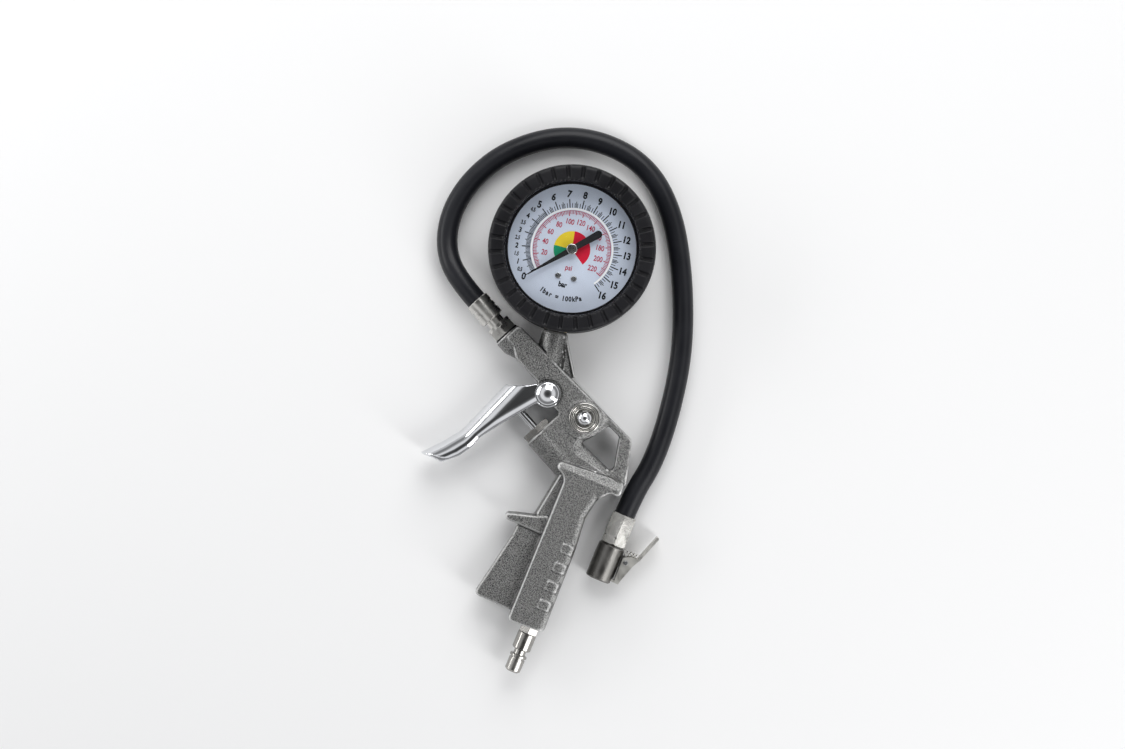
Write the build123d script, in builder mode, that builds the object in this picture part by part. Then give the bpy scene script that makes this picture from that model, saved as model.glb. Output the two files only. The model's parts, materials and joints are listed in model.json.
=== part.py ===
from build123d import *
import os
from math import acos, asin, atan2, cos, degrees, pi, radians, sin, sqrt, tan

os.makedirs("parts", exist_ok=True)

# A hand-held tyre inflator: an aluminium pistol casting with a trigger valve and a bleed
# button, a dial gauge in a rubber boot, and a rubber hose that ends in a clip-on chuck.
# It lies on its side: +Z is up through the dial, +Y points from the handle to the gauge,
# the hose leaves towards -X. The origin is the centre of the footprint of the tool
# without its hose, on the surface that it lies on. Millimetres.

# ------------------------------------------------------------------ shared dimensions
# Places on the tool are measured from the axis of the trigger's pivot.
pivot_x = -4.0
pivot_y = 4.8
mid_z = 11.5             # height of the casting's mid-plane

run_gap = 0.05           # radial clearance of shafts, rods and screwed shanks
seat_gap = 0.1           # axial gap between a moving face and its seat
press_gap = 0.3          # gap between a lever and what it pushes
skin_gap = 0.2           # gap around soft parts

# casting
barrel_half = 7.6
grip_half = 11.0
grip_rim = 0.9
fin_half = 4.6
strip_half = 6.6
stop_half = 7.2
collar_x = -35.2         # front face of the barrel
barrel_y = 4.6           # axis of the hose connection
collar_r = 6.9
gallery_y = 6.2          # air gallery along the barrel, above the pivot pin
gallery_r = 2.1
handle_tilt = 25.5       # the grip leans this far from -Y towards +X
pad_rise = 0.5
pad_pitch = 9.85
pad_count = 4
pad_length = 5.0
pad_width = 6.4
first_pad_x = 63.0
first_pad_y = -43.85

# trigger
pin_r = 2.5
ear_r = 6.8
sheet = 1.6              # thickness of the trigger's pressed sheet
lever_r = 9.2            # outer radius of the trigger's half-round front
spot_depth = 0.3
head_r = 5.6
pivot_washer_t = 0.55

# trigger valve
valve_y = -16.1
valve_r = 7.9
gland_x = 11.0           # face that the gland nut seats on
chamber_r = 5.0
chamber_end = 51.0
rod_r = 2.0
rod_tip_r = 1.4
gland_af = 14.5
gland_hex_t = 3.0
gland_shank = 4.5
seat_x = 26.0
seat_t = 3.0
poppet_x = seat_x + seat_t + seat_gap
poppet_r = 4.2
valve_spring_r = 3.0
valve_wire = 0.7

# bleed valve
button_x = 21.0
button_y = 5.4
button_travel = 1.5
cap_r = 7.6
cap_t = 1.8
boss_rise = 0.4
button_r = 3.4
stem_r = 1.6

# hose and its fittings
hose_r = 5.2
hose_bore = 3.0
fitting_af = 12.0
ferrule_r = 6.1
ferrule_len = 12.0
port_r = 4.85            # screwed shanks of the hose fitting and of the gauge

# inlet
nipple_x = 79.2          # where the nipple's axis meets the foot of the handle
nipple_y = -82.4
nipple_port_r = 3.9
inlet_af = 8.6
inlet_washer_t = 0.8

# gauge
gauge_x = -44.5
gauge_y = 56.0
stem_angle = -53.5       # direction from the gauge's centre to the barrel
case_r = 34.2
case_wall = 1.2
bezel_lip = 3.1
boot_wall = 6.6
boot_top = 35.4
boot_floor = 2.6
boss_gap = 0.2
movement_z = 8.0
dial_z = 21.8
dial_r = case_r - bezel_lip       # visible radius of the dial
boot_r = case_r + boot_wall
boss_start = boot_r + boss_gap    # the casting's boss begins this far from the gauge's centre

# clip-on chuck
chuck_x = 70.3
chuck_y = -12.0
chuck_z = 6.8
head_chuck_r = 6.75
chuck_af = 11.9
valve_mouth_r = 4.15     # takes a tyre valve's 7.7 mm thread

grip_dir = (sin(radians(handle_tilt)), -cos(radians(handle_tilt)))


# ------------------------------------------------------------------ planes and helpers
def tool_plane(x, y, z, direction):
    """A plane at a place on the tool, facing along a direction that lies flat."""
    return Plane(
        origin=(pivot_x + x, pivot_y + y, z), x_dir=(0, 0, 1), z_dir=(*direction, 0)
    )


def flat_plane(x, y, z):
    """A level plane at a place on the tool."""
    return Plane(origin=(pivot_x + x, pivot_y + y, z))


def plate(outline, radii, half, rim, holes=()):
    """A plate centred on the mid-plane, with rounded corners, rims and windows."""
    with BuildPart() as piece:
        with BuildSketch(flat_plane(0, 0, mid_z - half)):
            with BuildLine():
                FilletPolyline(*outline, radius=radii, close=True)
            make_face()
            for hole, hole_radii in holes:
                with BuildLine():
                    FilletPolyline(*hole, radius=hole_radii, close=True)
                make_face(mode=Mode.SUBTRACT)
        extrude(amount=2 * half)
        levels = piece.edges().group_by(Axis.Z)
        fillet(levels[0] + levels[-1], rim)
    return piece.part


def turned(plane, steps):
    """Coaxial discs and cones along a plane's normal: (start, end, radius, end radius)."""
    with BuildPart() as piece:
        for start, end, radius, end_radius in steps:
            with BuildSketch(plane.offset(start)):
                Circle(radius)
            if radius == end_radius:
                extrude(amount=end - start)
            else:
                with BuildSketch(plane.offset(end)):
                    Circle(end_radius)
                loft()
    return piece.part


def hexagon(plane, start, end, across_flats, corner):
    """A hexagon bar whose ends are turned down at the corners."""
    with BuildPart() as blank:
        with BuildSketch(plane.offset(start)):
            Circle(across_flats / sqrt(3) - 0.05)
        extrude(amount=end - start)
        chamfer(blank.edges().filter_by(GeomType.CIRCLE), corner)
    with BuildPart() as piece:
        with BuildSketch(plane.offset(start)):
            RegularPolygon(across_flats / 2, 6, major_radius=False)
        extrude(amount=end - start)
        add(blank.part, mode=Mode.INTERSECT)
    return piece.part


def coil(plane, length, mean_r, wire, turns):
    """A compression spring that stands on a plane and fills a length."""
    with BuildPart() as piece:
        with BuildLine() as wire_path:
            Helix(
                pitch=(length - wire) / turns,
                height=length - wire,
                radius=mean_r,
                center=(plane.origin + plane.z_dir * (wire / 2)),
                direction=plane.z_dir,
            )
        with BuildSketch(Plane(origin=wire_path.line @ 0, z_dir=wire_path.line % 0)):
            Circle(wire / 2)
        sweep(is_frenet=True)
    return piece.part


def ring(plane, start, end, outer, inner):
    """A plain ring along a plane's normal."""
    with BuildPart() as piece:
        with BuildSketch(plane.offset(start)):
            Circle(outer)
            Circle(inner, mode=Mode.SUBTRACT)
        extrude(amount=end - start)
    return piece.part


def revolved(x, y, profile, radii):
    """A body about a vertical axis, from its half section of radii and heights."""
    with BuildPart() as piece:
        section = Plane(
            origin=(pivot_x + x, pivot_y + y, 0), x_dir=(1, 0, 0), z_dir=(0, -1, 0)
        )
        with BuildSketch(section):
            with BuildLine():
                FilletPolyline(*profile, radius=radii, close=True)
            make_face()
        revolve(axis=Axis((pivot_x + x, pivot_y + y, 0), (0, 0, 1)))
    return piece.part


def bar(plane, start, end, places, width):
    """A flat bar with round ends through a row of places on a plane."""
    with BuildPart() as piece:
        with BuildSketch(plane.offset(start)):
            with BuildLine() as spine:
                Polyline(*places)
            trace(spine.line, line_width=width)
            with Locations(places[0], places[-1]):
                Circle(width / 2)
        extrude(amount=end - start)
    return piece.part


# ------------------------------------------------------------------ outlines
# Corner places and corner radii, measured from the pivot.
barrel_outline = [
    (-34.6, 12.1), (44.9, 15.4), (59.6, -1.9), (54.0, -11.5), (32.0, -15.5),
    (gland_x, valve_y), (gland_x, -2.3), (-1.0, -2.3), (-8.0, 0.1), (-24.0, 0.1),
    (-29.0, 2.9), (-34.6, 2.9),
]
barrel_radii = [2.0, 3.0, 2.0, 2.0, 2.0, 2.0, 1.5, 2.0, 2.0, 3.0, 2.0, 2.0]
window_outline = [
    (31.9, 11.7), (39.4, 12.0), (48.9, -0.1), (49.0, -2.6), (28.9, -4.1), (30.9, 4.0),
]
window_radii = [1.2, 1.5, 1.5, 1.5, 1.5, 6.0]
grip_outline = [
    (21.5, -21.7), (57.4, -1.2), (61.6, -7.7), (56.6, -9.9), (54.9, -16.5),
    (57.6, -27.0), (66.0, -41.1), (85.6, -79.9), (69.0, -88.7), (36.0, -20.5),
]
grip_radii = [2.2, 2.5, 2.0, 4.0, 6.0, 10.0, 40.0, 2.2, 2.2, 6.0]
fin_outline = [
    (32.6, -22.1), (39.3, -44.3), (38.0, -54.8), (40.0, -59.5), (48.6, -93.1),
    (68.3, -84.4), (48.0, -43.5), (38.0, -18.5),
]
fin_radii = [2.0, 3.0, 2.0, 6.0, 2.0, 2.0, 2.0, 2.0]
strip_outline = [(33.2, -21.5), (40.2, -44.5), (46.0, -41.5), (38.0, -19.5)]
stop_outline = [
    (41.5, -43.5), (32.4, -51.5), (29.2, -54.7), (31.6, -56.7), (35.6, -54.7),
    (50.5, -48.1), (46.0, -38.5),
]
stop_radii = [2.0, 4.0, 1.6, 1.6, 4.0, 2.0, 2.0]
web_outline = [(-15.6, 26.4), (2.8, 15.4), (0.0, 11.0), (-12.0, 11.0)]
bead_outline = [(-15.3, 26.3), (3.2, 15.3), (2.7, 14.4), (-15.8, 25.4)]

trigger_edge = [(-18.3, -1.5), (-15.2, -43.5), (-17.4, -54.5), (-21.4, -68.5)]
trigger_side = [
    (-24.0, -12.1), (-16.2, -11.8), (-9.5, -4.3), (-6.6, 0.7), (0.0, -6.5),
    (-0.3, -8.0), (-2.7, -19.0), (-4.7, -29.0), (-6.4, -39.5), (-5.7, -46.5),
    (-6.6, -53.0), (-11.4, -65.0), (-12.0, -70.0), (-26.0, -70.0),
]
trigger_side_radii = [0, 2, 0, 0, 0, 1, 6, 6, 6, 6, 6, 3, 0, 0]

# Places that the hose's centre-line is drawn through, from the ferrule to the chuck.
ferrule_start = -45.7
hose_inset = 2.0
hose_points = [
    (ferrule_start - ferrule_len + hose_inset, barrel_y, mid_z),
    (-72.5, barrel_y, mid_z),
    (-88.0, 10.7, 7.1),
    (-99.5, 24.5, 5.4),
    (-104.9, 43.5, 5.25),
    (-103.4, 65.5, 5.25),
    (-92.5, 89.0, 5.25),
    (-74.0, 105.0, 5.25),
    (-50.5, 112.3, 5.25),
    (-25.5, 106.5, 5.25),
    (2.0, 88.5, 5.25),
    (28.5, 64.8, 5.25),
    (47.3, 39.5, 5.3),
    (60.3, 16.5, 5.6),
    (chuck_x - 11.2 * grip_dir[0], chuck_y - 11.2 * grip_dir[1], chuck_z),
    (chuck_x + hose_inset * grip_dir[0], chuck_y + hose_inset * grip_dir[1], chuck_z),
]

# ------------------------------------------------------------------ working planes
barrel_plane = tool_plane(0, barrel_y, mid_z, (1, 0))
gallery_plane = tool_plane(0, gallery_y, mid_z, (1, 0))
valve_plane = tool_plane(0, valve_y, mid_z, (1, 0))
pivot_plane = flat_plane(0, 0, 0)
button_plane = flat_plane(button_x, button_y, 0)
boss_plane = flat_plane(button_x, button_y - 1.3, 0)
nipple_plane = tool_plane(nipple_x, nipple_y, mid_z, grip_dir)
stem_dir = (cos(radians(stem_angle)), sin(radians(stem_angle)))
stem_plane = tool_plane(gauge_x, gauge_y, mid_z, stem_dir)
gauge_plane = flat_plane(gauge_x, gauge_y, 0)
fitting_plane = tool_plane(0, barrel_y, mid_z, (-1, 0))
chuck_plane = tool_plane(chuck_x, chuck_y, chuck_z, grip_dir)
chuck_flat = Plane(
    origin=(pivot_x + chuck_x, pivot_y + chuck_y, chuck_z),
    x_dir=(*grip_dir, 0),
    z_dir=(0, 0, 1),
)

# ------------------------------------------------------------------ casting
boss_top = mid_z + barrel_half + boss_rise
nipple_seat = 0.4        # the foot of the handle is spot-faced this far along the axis
stem_seat_t = 0.8
stem_shank = 11.5
stem_shank_end = boss_start + stem_shank
shank_end = 27.4         # the hose fitting's shank reaches this far behind the pivot

# grip: a thick slab whose upper ridge is bevelled on both faces
ridge_start = grip_outline[0]
ridge_end = grip_outline[1]
ridge_len = sqrt((ridge_end[0] - ridge_start[0]) ** 2 + (ridge_end[1] - ridge_start[1]) ** 2)
ridge_in = (
    (ridge_end[1] - ridge_start[1]) / ridge_len,
    -(ridge_end[0] - ridge_start[0]) / ridge_len,
)
bevel_start = 1.5
bevel_end = 5.0
bevel_slope = 0.55
bevel_from = (
    ridge_start[0] + bevel_start * ridge_in[0],
    ridge_start[1] + bevel_start * ridge_in[1],
)
bevel_to = (
    ridge_end[0] + bevel_end * ridge_in[0],
    ridge_end[1] + bevel_end * ridge_in[1],
)
bevel_len = sqrt((bevel_to[0] - bevel_from[0]) ** 2 + (bevel_to[1] - bevel_from[1]) ** 2)
bevel_in = (
    (bevel_to[1] - bevel_from[1]) / bevel_len,
    -(bevel_to[0] - bevel_from[0]) / bevel_len,
)
with BuildPart() as grip_slab:
    add(plate(grip_outline, grip_radii, grip_half, grip_rim))
    for side in (1, -1):
        bevel = Plane(
            origin=(pivot_x + bevel_from[0], pivot_y + bevel_from[1], mid_z + side * grip_half),
            z_dir=(-bevel_slope * bevel_in[0], -bevel_slope * bevel_in[1], side),
        )
        split(bisect_by=bevel, keep=Keep.BOTTOM)

# one pad of the row that the handle rests on
with BuildPart() as pad:
    with BuildSketch(
        Plane(
            origin=(pivot_x + first_pad_x, pivot_y + first_pad_y, mid_z - grip_half - pad_rise),
            x_dir=(*grip_dir, 0),
            z_dir=(0, 0, 1),
        )
    ):
        with GridLocations(pad_pitch, 0, pad_count, 1, align=(Align.MIN, Align.CENTER)):
            RectangleRounded(pad_length, pad_width, 1.0)
    extrude(amount=2 * (grip_half + pad_rise))
    pad_levels = pad.edges().group_by(Axis.Z)
    fillet(pad_levels[0] + pad_levels[-1], 0.4)

with BuildPart() as gun_body:
    add(plate(barrel_outline, barrel_radii, barrel_half, 1.2, [(window_outline, window_radii)]))
    add(grip_slab.part)
    add(pad.part)
    add(plate(fin_outline, fin_radii, fin_half, 1.2))
    add(plate(strip_outline, 1.5, strip_half, 1.0))
    add(plate(stop_outline, stop_radii, stop_half, 1.2))
    add(plate(web_outline, 0.5, 1.8, 0.4))
    add(plate(bead_outline, 0.42, 3.2, 0.35))
    # collar at the front of the barrel, trigger lug, boss of the bleed valve
    add(turned(barrel_plane, [(collar_x, -29.0, collar_r, collar_r), (-29.0, -23.0, collar_r, 4.5)]))
    lug_low = mid_z - barrel_half + spot_depth
    lug_high = mid_z + barrel_half - spot_depth
    add(turned(pivot_plane, [(lug_low, lug_high, 6.6, 6.6)]))
    add(turned(boss_plane, [(mid_z, boss_top, 9.3, 9.3)]))
    # valve cylinder and gauge boss
    add(
        turned(
            valve_plane,
            [(gland_x, gland_x + 0.8, valve_r - 0.8, valve_r), (gland_x + 0.8, 40.0, valve_r, valve_r)],
        )
    )
    boss_rim = boss_start + 0.8
    add(
        turned(
            stem_plane, [(boss_start, boss_rim, 5.8, 6.4), (boss_rim, boss_start + 17, 6.4, 7.6)]
        )
    )
    # spot faces under the trigger's ears and at the foot of the handle
    for low in (mid_z - barrel_half - 5, lug_high):
        add(turned(pivot_plane, [(low, low + 5 + spot_depth, 7.4, 7.4)]), mode=Mode.SUBTRACT)
    add(turned(nipple_plane, [(nipple_seat, 6.0, 6.4, 6.4)]), mode=Mode.SUBTRACT)
    # drilled and tapped holes
    add(turned(pivot_plane, [(0, 23, pin_r + 0.02, pin_r + 0.02)]), mode=Mode.SUBTRACT)
    hose_port = port_r + run_gap
    add(
        turned(barrel_plane, [(collar_x - 1, -shank_end + 0.4, hose_port, hose_port)]),
        mode=Mode.SUBTRACT,
    )
    add(
        turned(gallery_plane, [(-shank_end, button_x, gallery_r, gallery_r)]), mode=Mode.SUBTRACT
    )
    add(
        turned(
            stem_plane,
            [
                (boss_start - 1, stem_shank_end + 0.5, hose_port, hose_port),
                (stem_shank_end + 0.5, 62.0, 1.8, 1.8),
            ],
        ),
        mode=Mode.SUBTRACT,
    )
    add(
        turned(valve_plane, [(gland_x - 1, chamber_end, chamber_r, chamber_r)]),
        mode=Mode.SUBTRACT,
    )
    transfer = tool_plane(button_x, valve_y, mid_z, (0, 1))
    add(turned(transfer, [(0, button_y - valve_y, 1.8, 1.8)]), mode=Mode.SUBTRACT)
    add(turned(button_plane, [(5.9, boss_top + 1, chamber_r, chamber_r)]), mode=Mode.SUBTRACT)
    add(
        turned(
            nipple_plane,
            [(-73.4, -8.0, 2.4, 2.4), (-8.0, 2.0, nipple_port_r + run_gap, nipple_port_r + run_gap)],
        ),
        mode=Mode.SUBTRACT,
    )
gun_body.part.label = "gun_body"
export_step(gun_body.part, "parts/gun_body.step")

# ------------------------------------------------------------------ trigger and its pivot
edge_top = trigger_edge[0]
edge_dir = (trigger_edge[1][0] - edge_top[0], trigger_edge[1][1] - edge_top[1])
lever_inner = lever_r - sheet
with BuildPart() as trigger_side_body:
    with BuildSketch(flat_plane(0, 0, mid_z - lever_r - 1)):
        with BuildLine():
            FilletPolyline(*trigger_side, radius=trigger_side_radii, close=True)
        make_face()
        with Locations((0, 0)):
            Circle(ear_r)
    extrude(amount=2 * lever_r + 2)
trigger_tip = -66.0
with BuildPart() as trigger_front_body:
    front = Plane(
        origin=(pivot_x - 30, pivot_y + trigger_tip + lever_r, mid_z),
        x_dir=(0, 0, 1),
        z_dir=(1, 0, 0),
    )
    with BuildSketch(front):
        Circle(lever_r)
        with Locations((0, -40)):
            Rectangle(2 * lever_r + 0.02, 80)
    extrude(amount=45)
with BuildPart() as trigger_lever:
    with BuildLine() as trigger_spine:
        FilletPolyline(
            *[(pivot_x + x, pivot_y + y, mid_z) for x, y in trigger_edge], radius=[22.0, 25.0]
        )
    section = Plane(
        origin=(pivot_x + edge_top[0], pivot_y + edge_top[1], mid_z),
        x_dir=(-edge_dir[1], edge_dir[0], 0),
        z_dir=(*edge_dir, 0),
    )
    with BuildSketch(section):
        with Locations((lever_r, 0)):
            Circle(lever_r)
            Rectangle(24, 2 * lever_r, align=(Align.MIN, Align.CENTER))
            Circle(lever_inner, mode=Mode.SUBTRACT)
            Rectangle(25, 2 * lever_inner, align=(Align.MIN, Align.CENTER), mode=Mode.SUBTRACT)
    sweep(path=trigger_spine.line)
    add(trigger_side_body.part, mode=Mode.INTERSECT)
    add(trigger_front_body.part, mode=Mode.INTERSECT)
    add(
        turned(pivot_plane, [(0, 24, pin_r + run_gap, pin_r + run_gap)]), mode=Mode.SUBTRACT
    )
trigger_lever.part.label = "trigger_lever"
export_step(trigger_lever.part, "parts/trigger_lever.step")

ear_low = mid_z - lever_r
ear_high = mid_z + lever_r
head_z = ear_high + run_gap + pivot_washer_t
clip_z = ear_low - 0.8
pin_low = 0.8
with BuildPart() as pivot_pin:
    add(
        turned(
            pivot_plane,
            [
                (pin_low, pin_low + 0.4, pin_r - 0.4, pin_r),
                (pin_low + 0.4, clip_z, pin_r, pin_r),
                (clip_z, clip_z + 0.7, pin_r - 0.5, pin_r - 0.5),
                (clip_z + 0.7, head_z, pin_r, pin_r),
            ],
        )
    )
    add(
        revolved(
            0, 0,
            [(0, head_z), (head_r, head_z), (head_r, head_z + 1.5), (3.6, head_z + 2.9), (0, head_z + 2.9)],
            [0, 0.2, 1.2, 3.0, 0],
        )
    )
pivot_pin.part.label = "pivot_pin"
export_step(pivot_pin.part, "parts/pivot_pin.step")

with BuildPart() as pivot_washer:
    add(ring(pivot_plane, ear_high + run_gap, head_z, 6.2, pin_r + run_gap))
    chamfer(pivot_washer.edges().filter_by(GeomType.CIRCLE).sort_by(SortBy.RADIUS)[-2:], 0.12)
pivot_washer.part.label = "pivot_washer"
export_step(pivot_washer.part, "parts/pivot_washer.step")

with BuildPart() as pivot_clip:
    with BuildSketch(pivot_plane.offset(clip_z + 0.05)):
        Circle(4.4)
        Circle(pin_r - 0.48, mode=Mode.SUBTRACT)
        with Locations((0, -3.5)):
            Rectangle(3.6, 7, mode=Mode.SUBTRACT)
    extrude(amount=0.6)
pivot_clip.part.label = "pivot_clip"
export_step(pivot_clip.part, "parts/pivot_clip.step")

# ------------------------------------------------------------------ trigger valve
rod_start = -15.15
gland_end = gland_x + gland_shank
with BuildPart() as valve_rod:
    add(
        turned(
            valve_plane,
            [
                (rod_start, rod_start + 0.5, rod_r - 0.5, rod_r),
                (rod_start + 0.5, 20.0, rod_r, rod_r),
                (20.0, poppet_x + 1.4, rod_tip_r, rod_tip_r),
            ],
        )
    )
valve_rod.part.label = "valve_rod"
export_step(valve_rod.part, "parts/valve_rod.step")

with BuildPart() as gland_nut:
    add(hexagon(valve_plane, gland_x - gland_hex_t, gland_x, gland_af, 0.7))
    gland_r = chamber_r - run_gap
    add(turned(valve_plane, [(gland_x, gland_end + 2.0, gland_r, gland_r)]))
    add(turned(valve_plane, [(0, 30, rod_r + run_gap, rod_r + run_gap)]), mode=Mode.SUBTRACT)
    add(turned(valve_plane, [(gland_end - 0.5, gland_end + 3, 3.6, 3.6)]), mode=Mode.SUBTRACT)
gland_nut.part.label = "gland_nut"
export_step(gland_nut.part, "parts/gland_nut.step")

with BuildPart() as rod_seal:
    add(ring(valve_plane, gland_end - 0.5, gland_end + 2.0, 3.6, rod_r + run_gap))
    fillet(rod_seal.edges().filter_by(GeomType.CIRCLE).sort_by(SortBy.RADIUS)[-2:], 0.4)
rod_seal.part.label = "rod_seal"
export_step(rod_seal.part, "parts/rod_seal.step")

with BuildPart() as valve_seat:
    add(ring(valve_plane, seat_x, seat_x + seat_t, chamber_r - run_gap, 2.4))
    add(ring(valve_plane, seat_x + 0.9, seat_x + 2.1, 6.0, 4.1), mode=Mode.SUBTRACT)
valve_seat.part.label = "valve_seat"
export_step(valve_seat.part, "parts/valve_seat.step")

with BuildPart() as seat_oring:
    with BuildSketch(
        Plane(
            origin=(pivot_x + seat_x + 1.5, pivot_y + valve_y, mid_z), x_dir=(1, 0, 0), z_dir=(0, 0, 1)
        )
    ):
        with Locations((0, 4.54)):
            Circle(0.43)
    revolve(axis=Axis((pivot_x, pivot_y + valve_y, mid_z), (1, 0, 0)))
seat_oring.part.label = "seat_oring"
export_step(seat_oring.part, "parts/seat_oring.step")

poppet_back = poppet_x + 1.4
with BuildPart() as poppet:
    add(
        turned(
            valve_plane,
            [
                (poppet_back, poppet_back + 2.2, poppet_r, poppet_r),
                (poppet_back + 2.2, poppet_back + 2.6, poppet_r, poppet_r - 0.4),
                (poppet_back + 2.6, poppet_back + 6.5, 2.3, 2.3),
            ],
        )
    )
poppet.part.label = "poppet"
export_step(poppet.part, "parts/poppet.step")

with BuildPart() as poppet_seal:
    add(ring(valve_plane, poppet_x, poppet_back, poppet_r - 0.2, rod_tip_r))
poppet_seal.part.label = "poppet_seal"
export_step(poppet_seal.part, "parts/poppet_seal.step")

spring_start = poppet_back + 2.6
with BuildPart() as valve_spring:
    add(
        coil(
            valve_plane.offset(spring_start), chamber_end - spring_start, valve_spring_r, valve_wire, 7
        )
    )
valve_spring.part.label = "valve_spring"
export_step(valve_spring.part, "parts/valve_spring.step")

# ------------------------------------------------------------------ bleed valve
cap_top = boss_top + cap_t
shank_bottom = 12.5
recess_z = cap_top - 1.6
dome_z = recess_z + button_travel + 0.3
stem_low = 11.0
with BuildPart() as bleed_cap:
    add(
        turned(
            button_plane,
            [
                (shank_bottom, boss_top, chamber_r - run_gap, chamber_r - run_gap),
                (boss_top, cap_top - 0.5, cap_r, cap_r),
                (cap_top - 0.5, cap_top, cap_r, cap_r - 0.5),
            ],
        )
    )
    add(turned(button_plane, [(0, 30, stem_r + run_gap, stem_r + run_gap)]), mode=Mode.SUBTRACT)
    add(turned(button_plane, [(recess_z, 30, 4.3, 4.3)]), mode=Mode.SUBTRACT)
    add(ring(button_plane, cap_top - 0.35, 30, 6.2, 5.7), mode=Mode.SUBTRACT)
bleed_cap.part.label = "bleed_cap"
export_step(bleed_cap.part, "parts/bleed_cap.step")

with BuildPart() as bleed_button:
    add(turned(button_plane, [(stem_low, dome_z, stem_r, stem_r)]))
    add(
        revolved(
            button_x, button_y,
            [(0, dome_z), (button_r, dome_z), (button_r, dome_z + 2.4), (0, dome_z + 2.4)],
            [0, 0.15, 1.9, 0],
        )
    )
bleed_button.part.label = "bleed_button"
export_step(bleed_button.part, "parts/bleed_button.step")

with BuildPart() as bleed_seal:
    add(
        ring(button_plane, stem_low, shank_bottom - seat_gap, 3.2, stem_r)
    )
bleed_seal.part.label = "bleed_seal"
export_step(bleed_seal.part, "parts/bleed_seal.step")

with BuildPart() as bleed_spring:
    add(coil(button_plane.offset(5.9), stem_low - 5.9, 2.3, 0.6, 4))
bleed_spring.part.label = "bleed_spring"
export_step(bleed_spring.part, "parts/bleed_spring.step")

# ------------------------------------------------------------------ hose fitting and hose
washer_t = 0.8
fitting_hex_t = 4.5
fitting_neck = 1.7
fitting_nose = -collar_x
fitting_hex_end = fitting_nose + washer_t + fitting_hex_t
fitting_neck_end = fitting_hex_end + fitting_neck
with BuildPart() as hose_fitting:
    add(turned(fitting_plane, [(shank_end, fitting_nose + washer_t, port_r, port_r)]))
    add(hexagon(fitting_plane, fitting_nose + washer_t, fitting_hex_end, fitting_af, 0.5))
    add(
        turned(
            fitting_plane,
            [
                (fitting_hex_end, fitting_neck_end, 6.2, 6.2),
                (fitting_neck_end, -ferrule_start, 4.2, 4.2),
            ],
        )
    )
    add(turned(fitting_plane, [(0, 60, 1.8, 1.8)]), mode=Mode.SUBTRACT)
hose_fitting.part.label = "hose_fitting"
export_step(hose_fitting.part, "parts/hose_fitting.step")

with BuildPart() as fitting_washer:
    add(ring(fitting_plane, fitting_nose, fitting_nose + washer_t, 6.5, port_r + run_gap))
fitting_washer.part.label = "fitting_washer"
export_step(fitting_washer.part, "parts/fitting_washer.step")


# the sleeve behind the barrel is crimped in two rings; the one at the chuck is a hexagon bar
hose_end = ferrule_len - ferrule_start - hose_inset
hose_socket_r = hose_r + run_gap
tail_bore = 1.8
with BuildPart() as hose_ferrule:
    with BuildSketch(fitting_plane.offset(-ferrule_start)):
        Circle(ferrule_r)
    extrude(amount=ferrule_len)
    chamfer(hose_ferrule.edges().filter_by(GeomType.CIRCLE), 0.35)
    for place in (0.36, 0.64):
        groove = place * ferrule_len - ferrule_start
        add(
            ring(fitting_plane, groove - 0.7, groove + 0.7, ferrule_r + 1, ferrule_r - 0.35),
            mode=Mode.SUBTRACT,
        )
    add(turned(fitting_plane, [(0, 60, tail_bore, tail_bore)]), mode=Mode.SUBTRACT)
    add(
        turned(fitting_plane, [(hose_end, hose_end + 5, hose_socket_r, hose_socket_r)]),
        mode=Mode.SUBTRACT,
    )
hose_ferrule.part.label = "hose_ferrule"
export_step(hose_ferrule.part, "parts/hose_ferrule.step")

with BuildPart() as chuck_ferrule:
    add(hexagon(chuck_plane, 0, ferrule_len, chuck_af, 0.5))
    add(turned(chuck_plane, [(-1, ferrule_len + 1, tail_bore, tail_bore)]), mode=Mode.SUBTRACT)
    add(
        turned(chuck_plane, [(-1, hose_inset, hose_socket_r, hose_socket_r)]),
        mode=Mode.SUBTRACT,
    )
chuck_ferrule.part.label = "chuck_ferrule"
export_step(chuck_ferrule.part, "parts/chuck_ferrule.step")

runs = []
for here, there in zip(hose_points, hose_points[1:]):
    runs.append(sqrt(sum((b - a) ** 2 for a, b in zip(here, there))))
hose_radii = []
for index in range(1, len(hose_points) - 1):
    before, here, after = hose_points[index - 1:index + 2]
    along = [(b - a) / runs[index - 1] for a, b in zip(before, here)]
    onward = [(b - a) / runs[index] for a, b in zip(here, after)]
    half_turn = acos(sum(a * b for a, b in zip(along, onward))) / 2
    hose_radii.append(0.45 * min(runs[index - 1], runs[index]) / tan(half_turn))
print("hose runs", [round(run, 1) for run in runs])
print("hose radii", [round(radius, 1) for radius in hose_radii])

with BuildPart() as hose:
    with BuildLine() as hose_line:
        FilletPolyline(
            *[(pivot_x + x, pivot_y + y, z) for x, y, z in hose_points], radius=hose_radii
        )
    with BuildSketch(Plane(origin=hose_line.line @ 0, z_dir=hose_line.line % 0)):
        Circle(hose_r)
        Circle(hose_bore, mode=Mode.SUBTRACT)
    sweep(path=hose_line.line)
hose_length = hose_line.wire().length
print("hose length", round(hose_length, 1))
print("hose volume", round(hose.part.volume))
print("section x length", round(pi * (hose_r ** 2 - hose_bore ** 2) * hose_length))
hose.part.label = "hose"
export_step(hose.part, "parts/hose.step")

# ------------------------------------------------------------------ clip-on chuck
coupler_end = ferrule_len + 3.6
head_end = 34.5
seal_start = 27.5
mouth_start = 31.0
claw_start = 31.7
lug_height = 2.6
lever_pin = (21.6, 9.3)
with BuildPart() as chuck_coupler:
    add(hexagon(chuck_plane, ferrule_len, coupler_end, chuck_af, 0.5))
    add(turned(chuck_plane, [(coupler_end, 21.0, 3.95, 3.95)]))
    add(turned(chuck_plane, [(0, 30, 1.5, 1.5)]), mode=Mode.SUBTRACT)
chuck_coupler.part.label = "chuck_coupler"
export_step(chuck_coupler.part, "parts/chuck_coupler.step")

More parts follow.
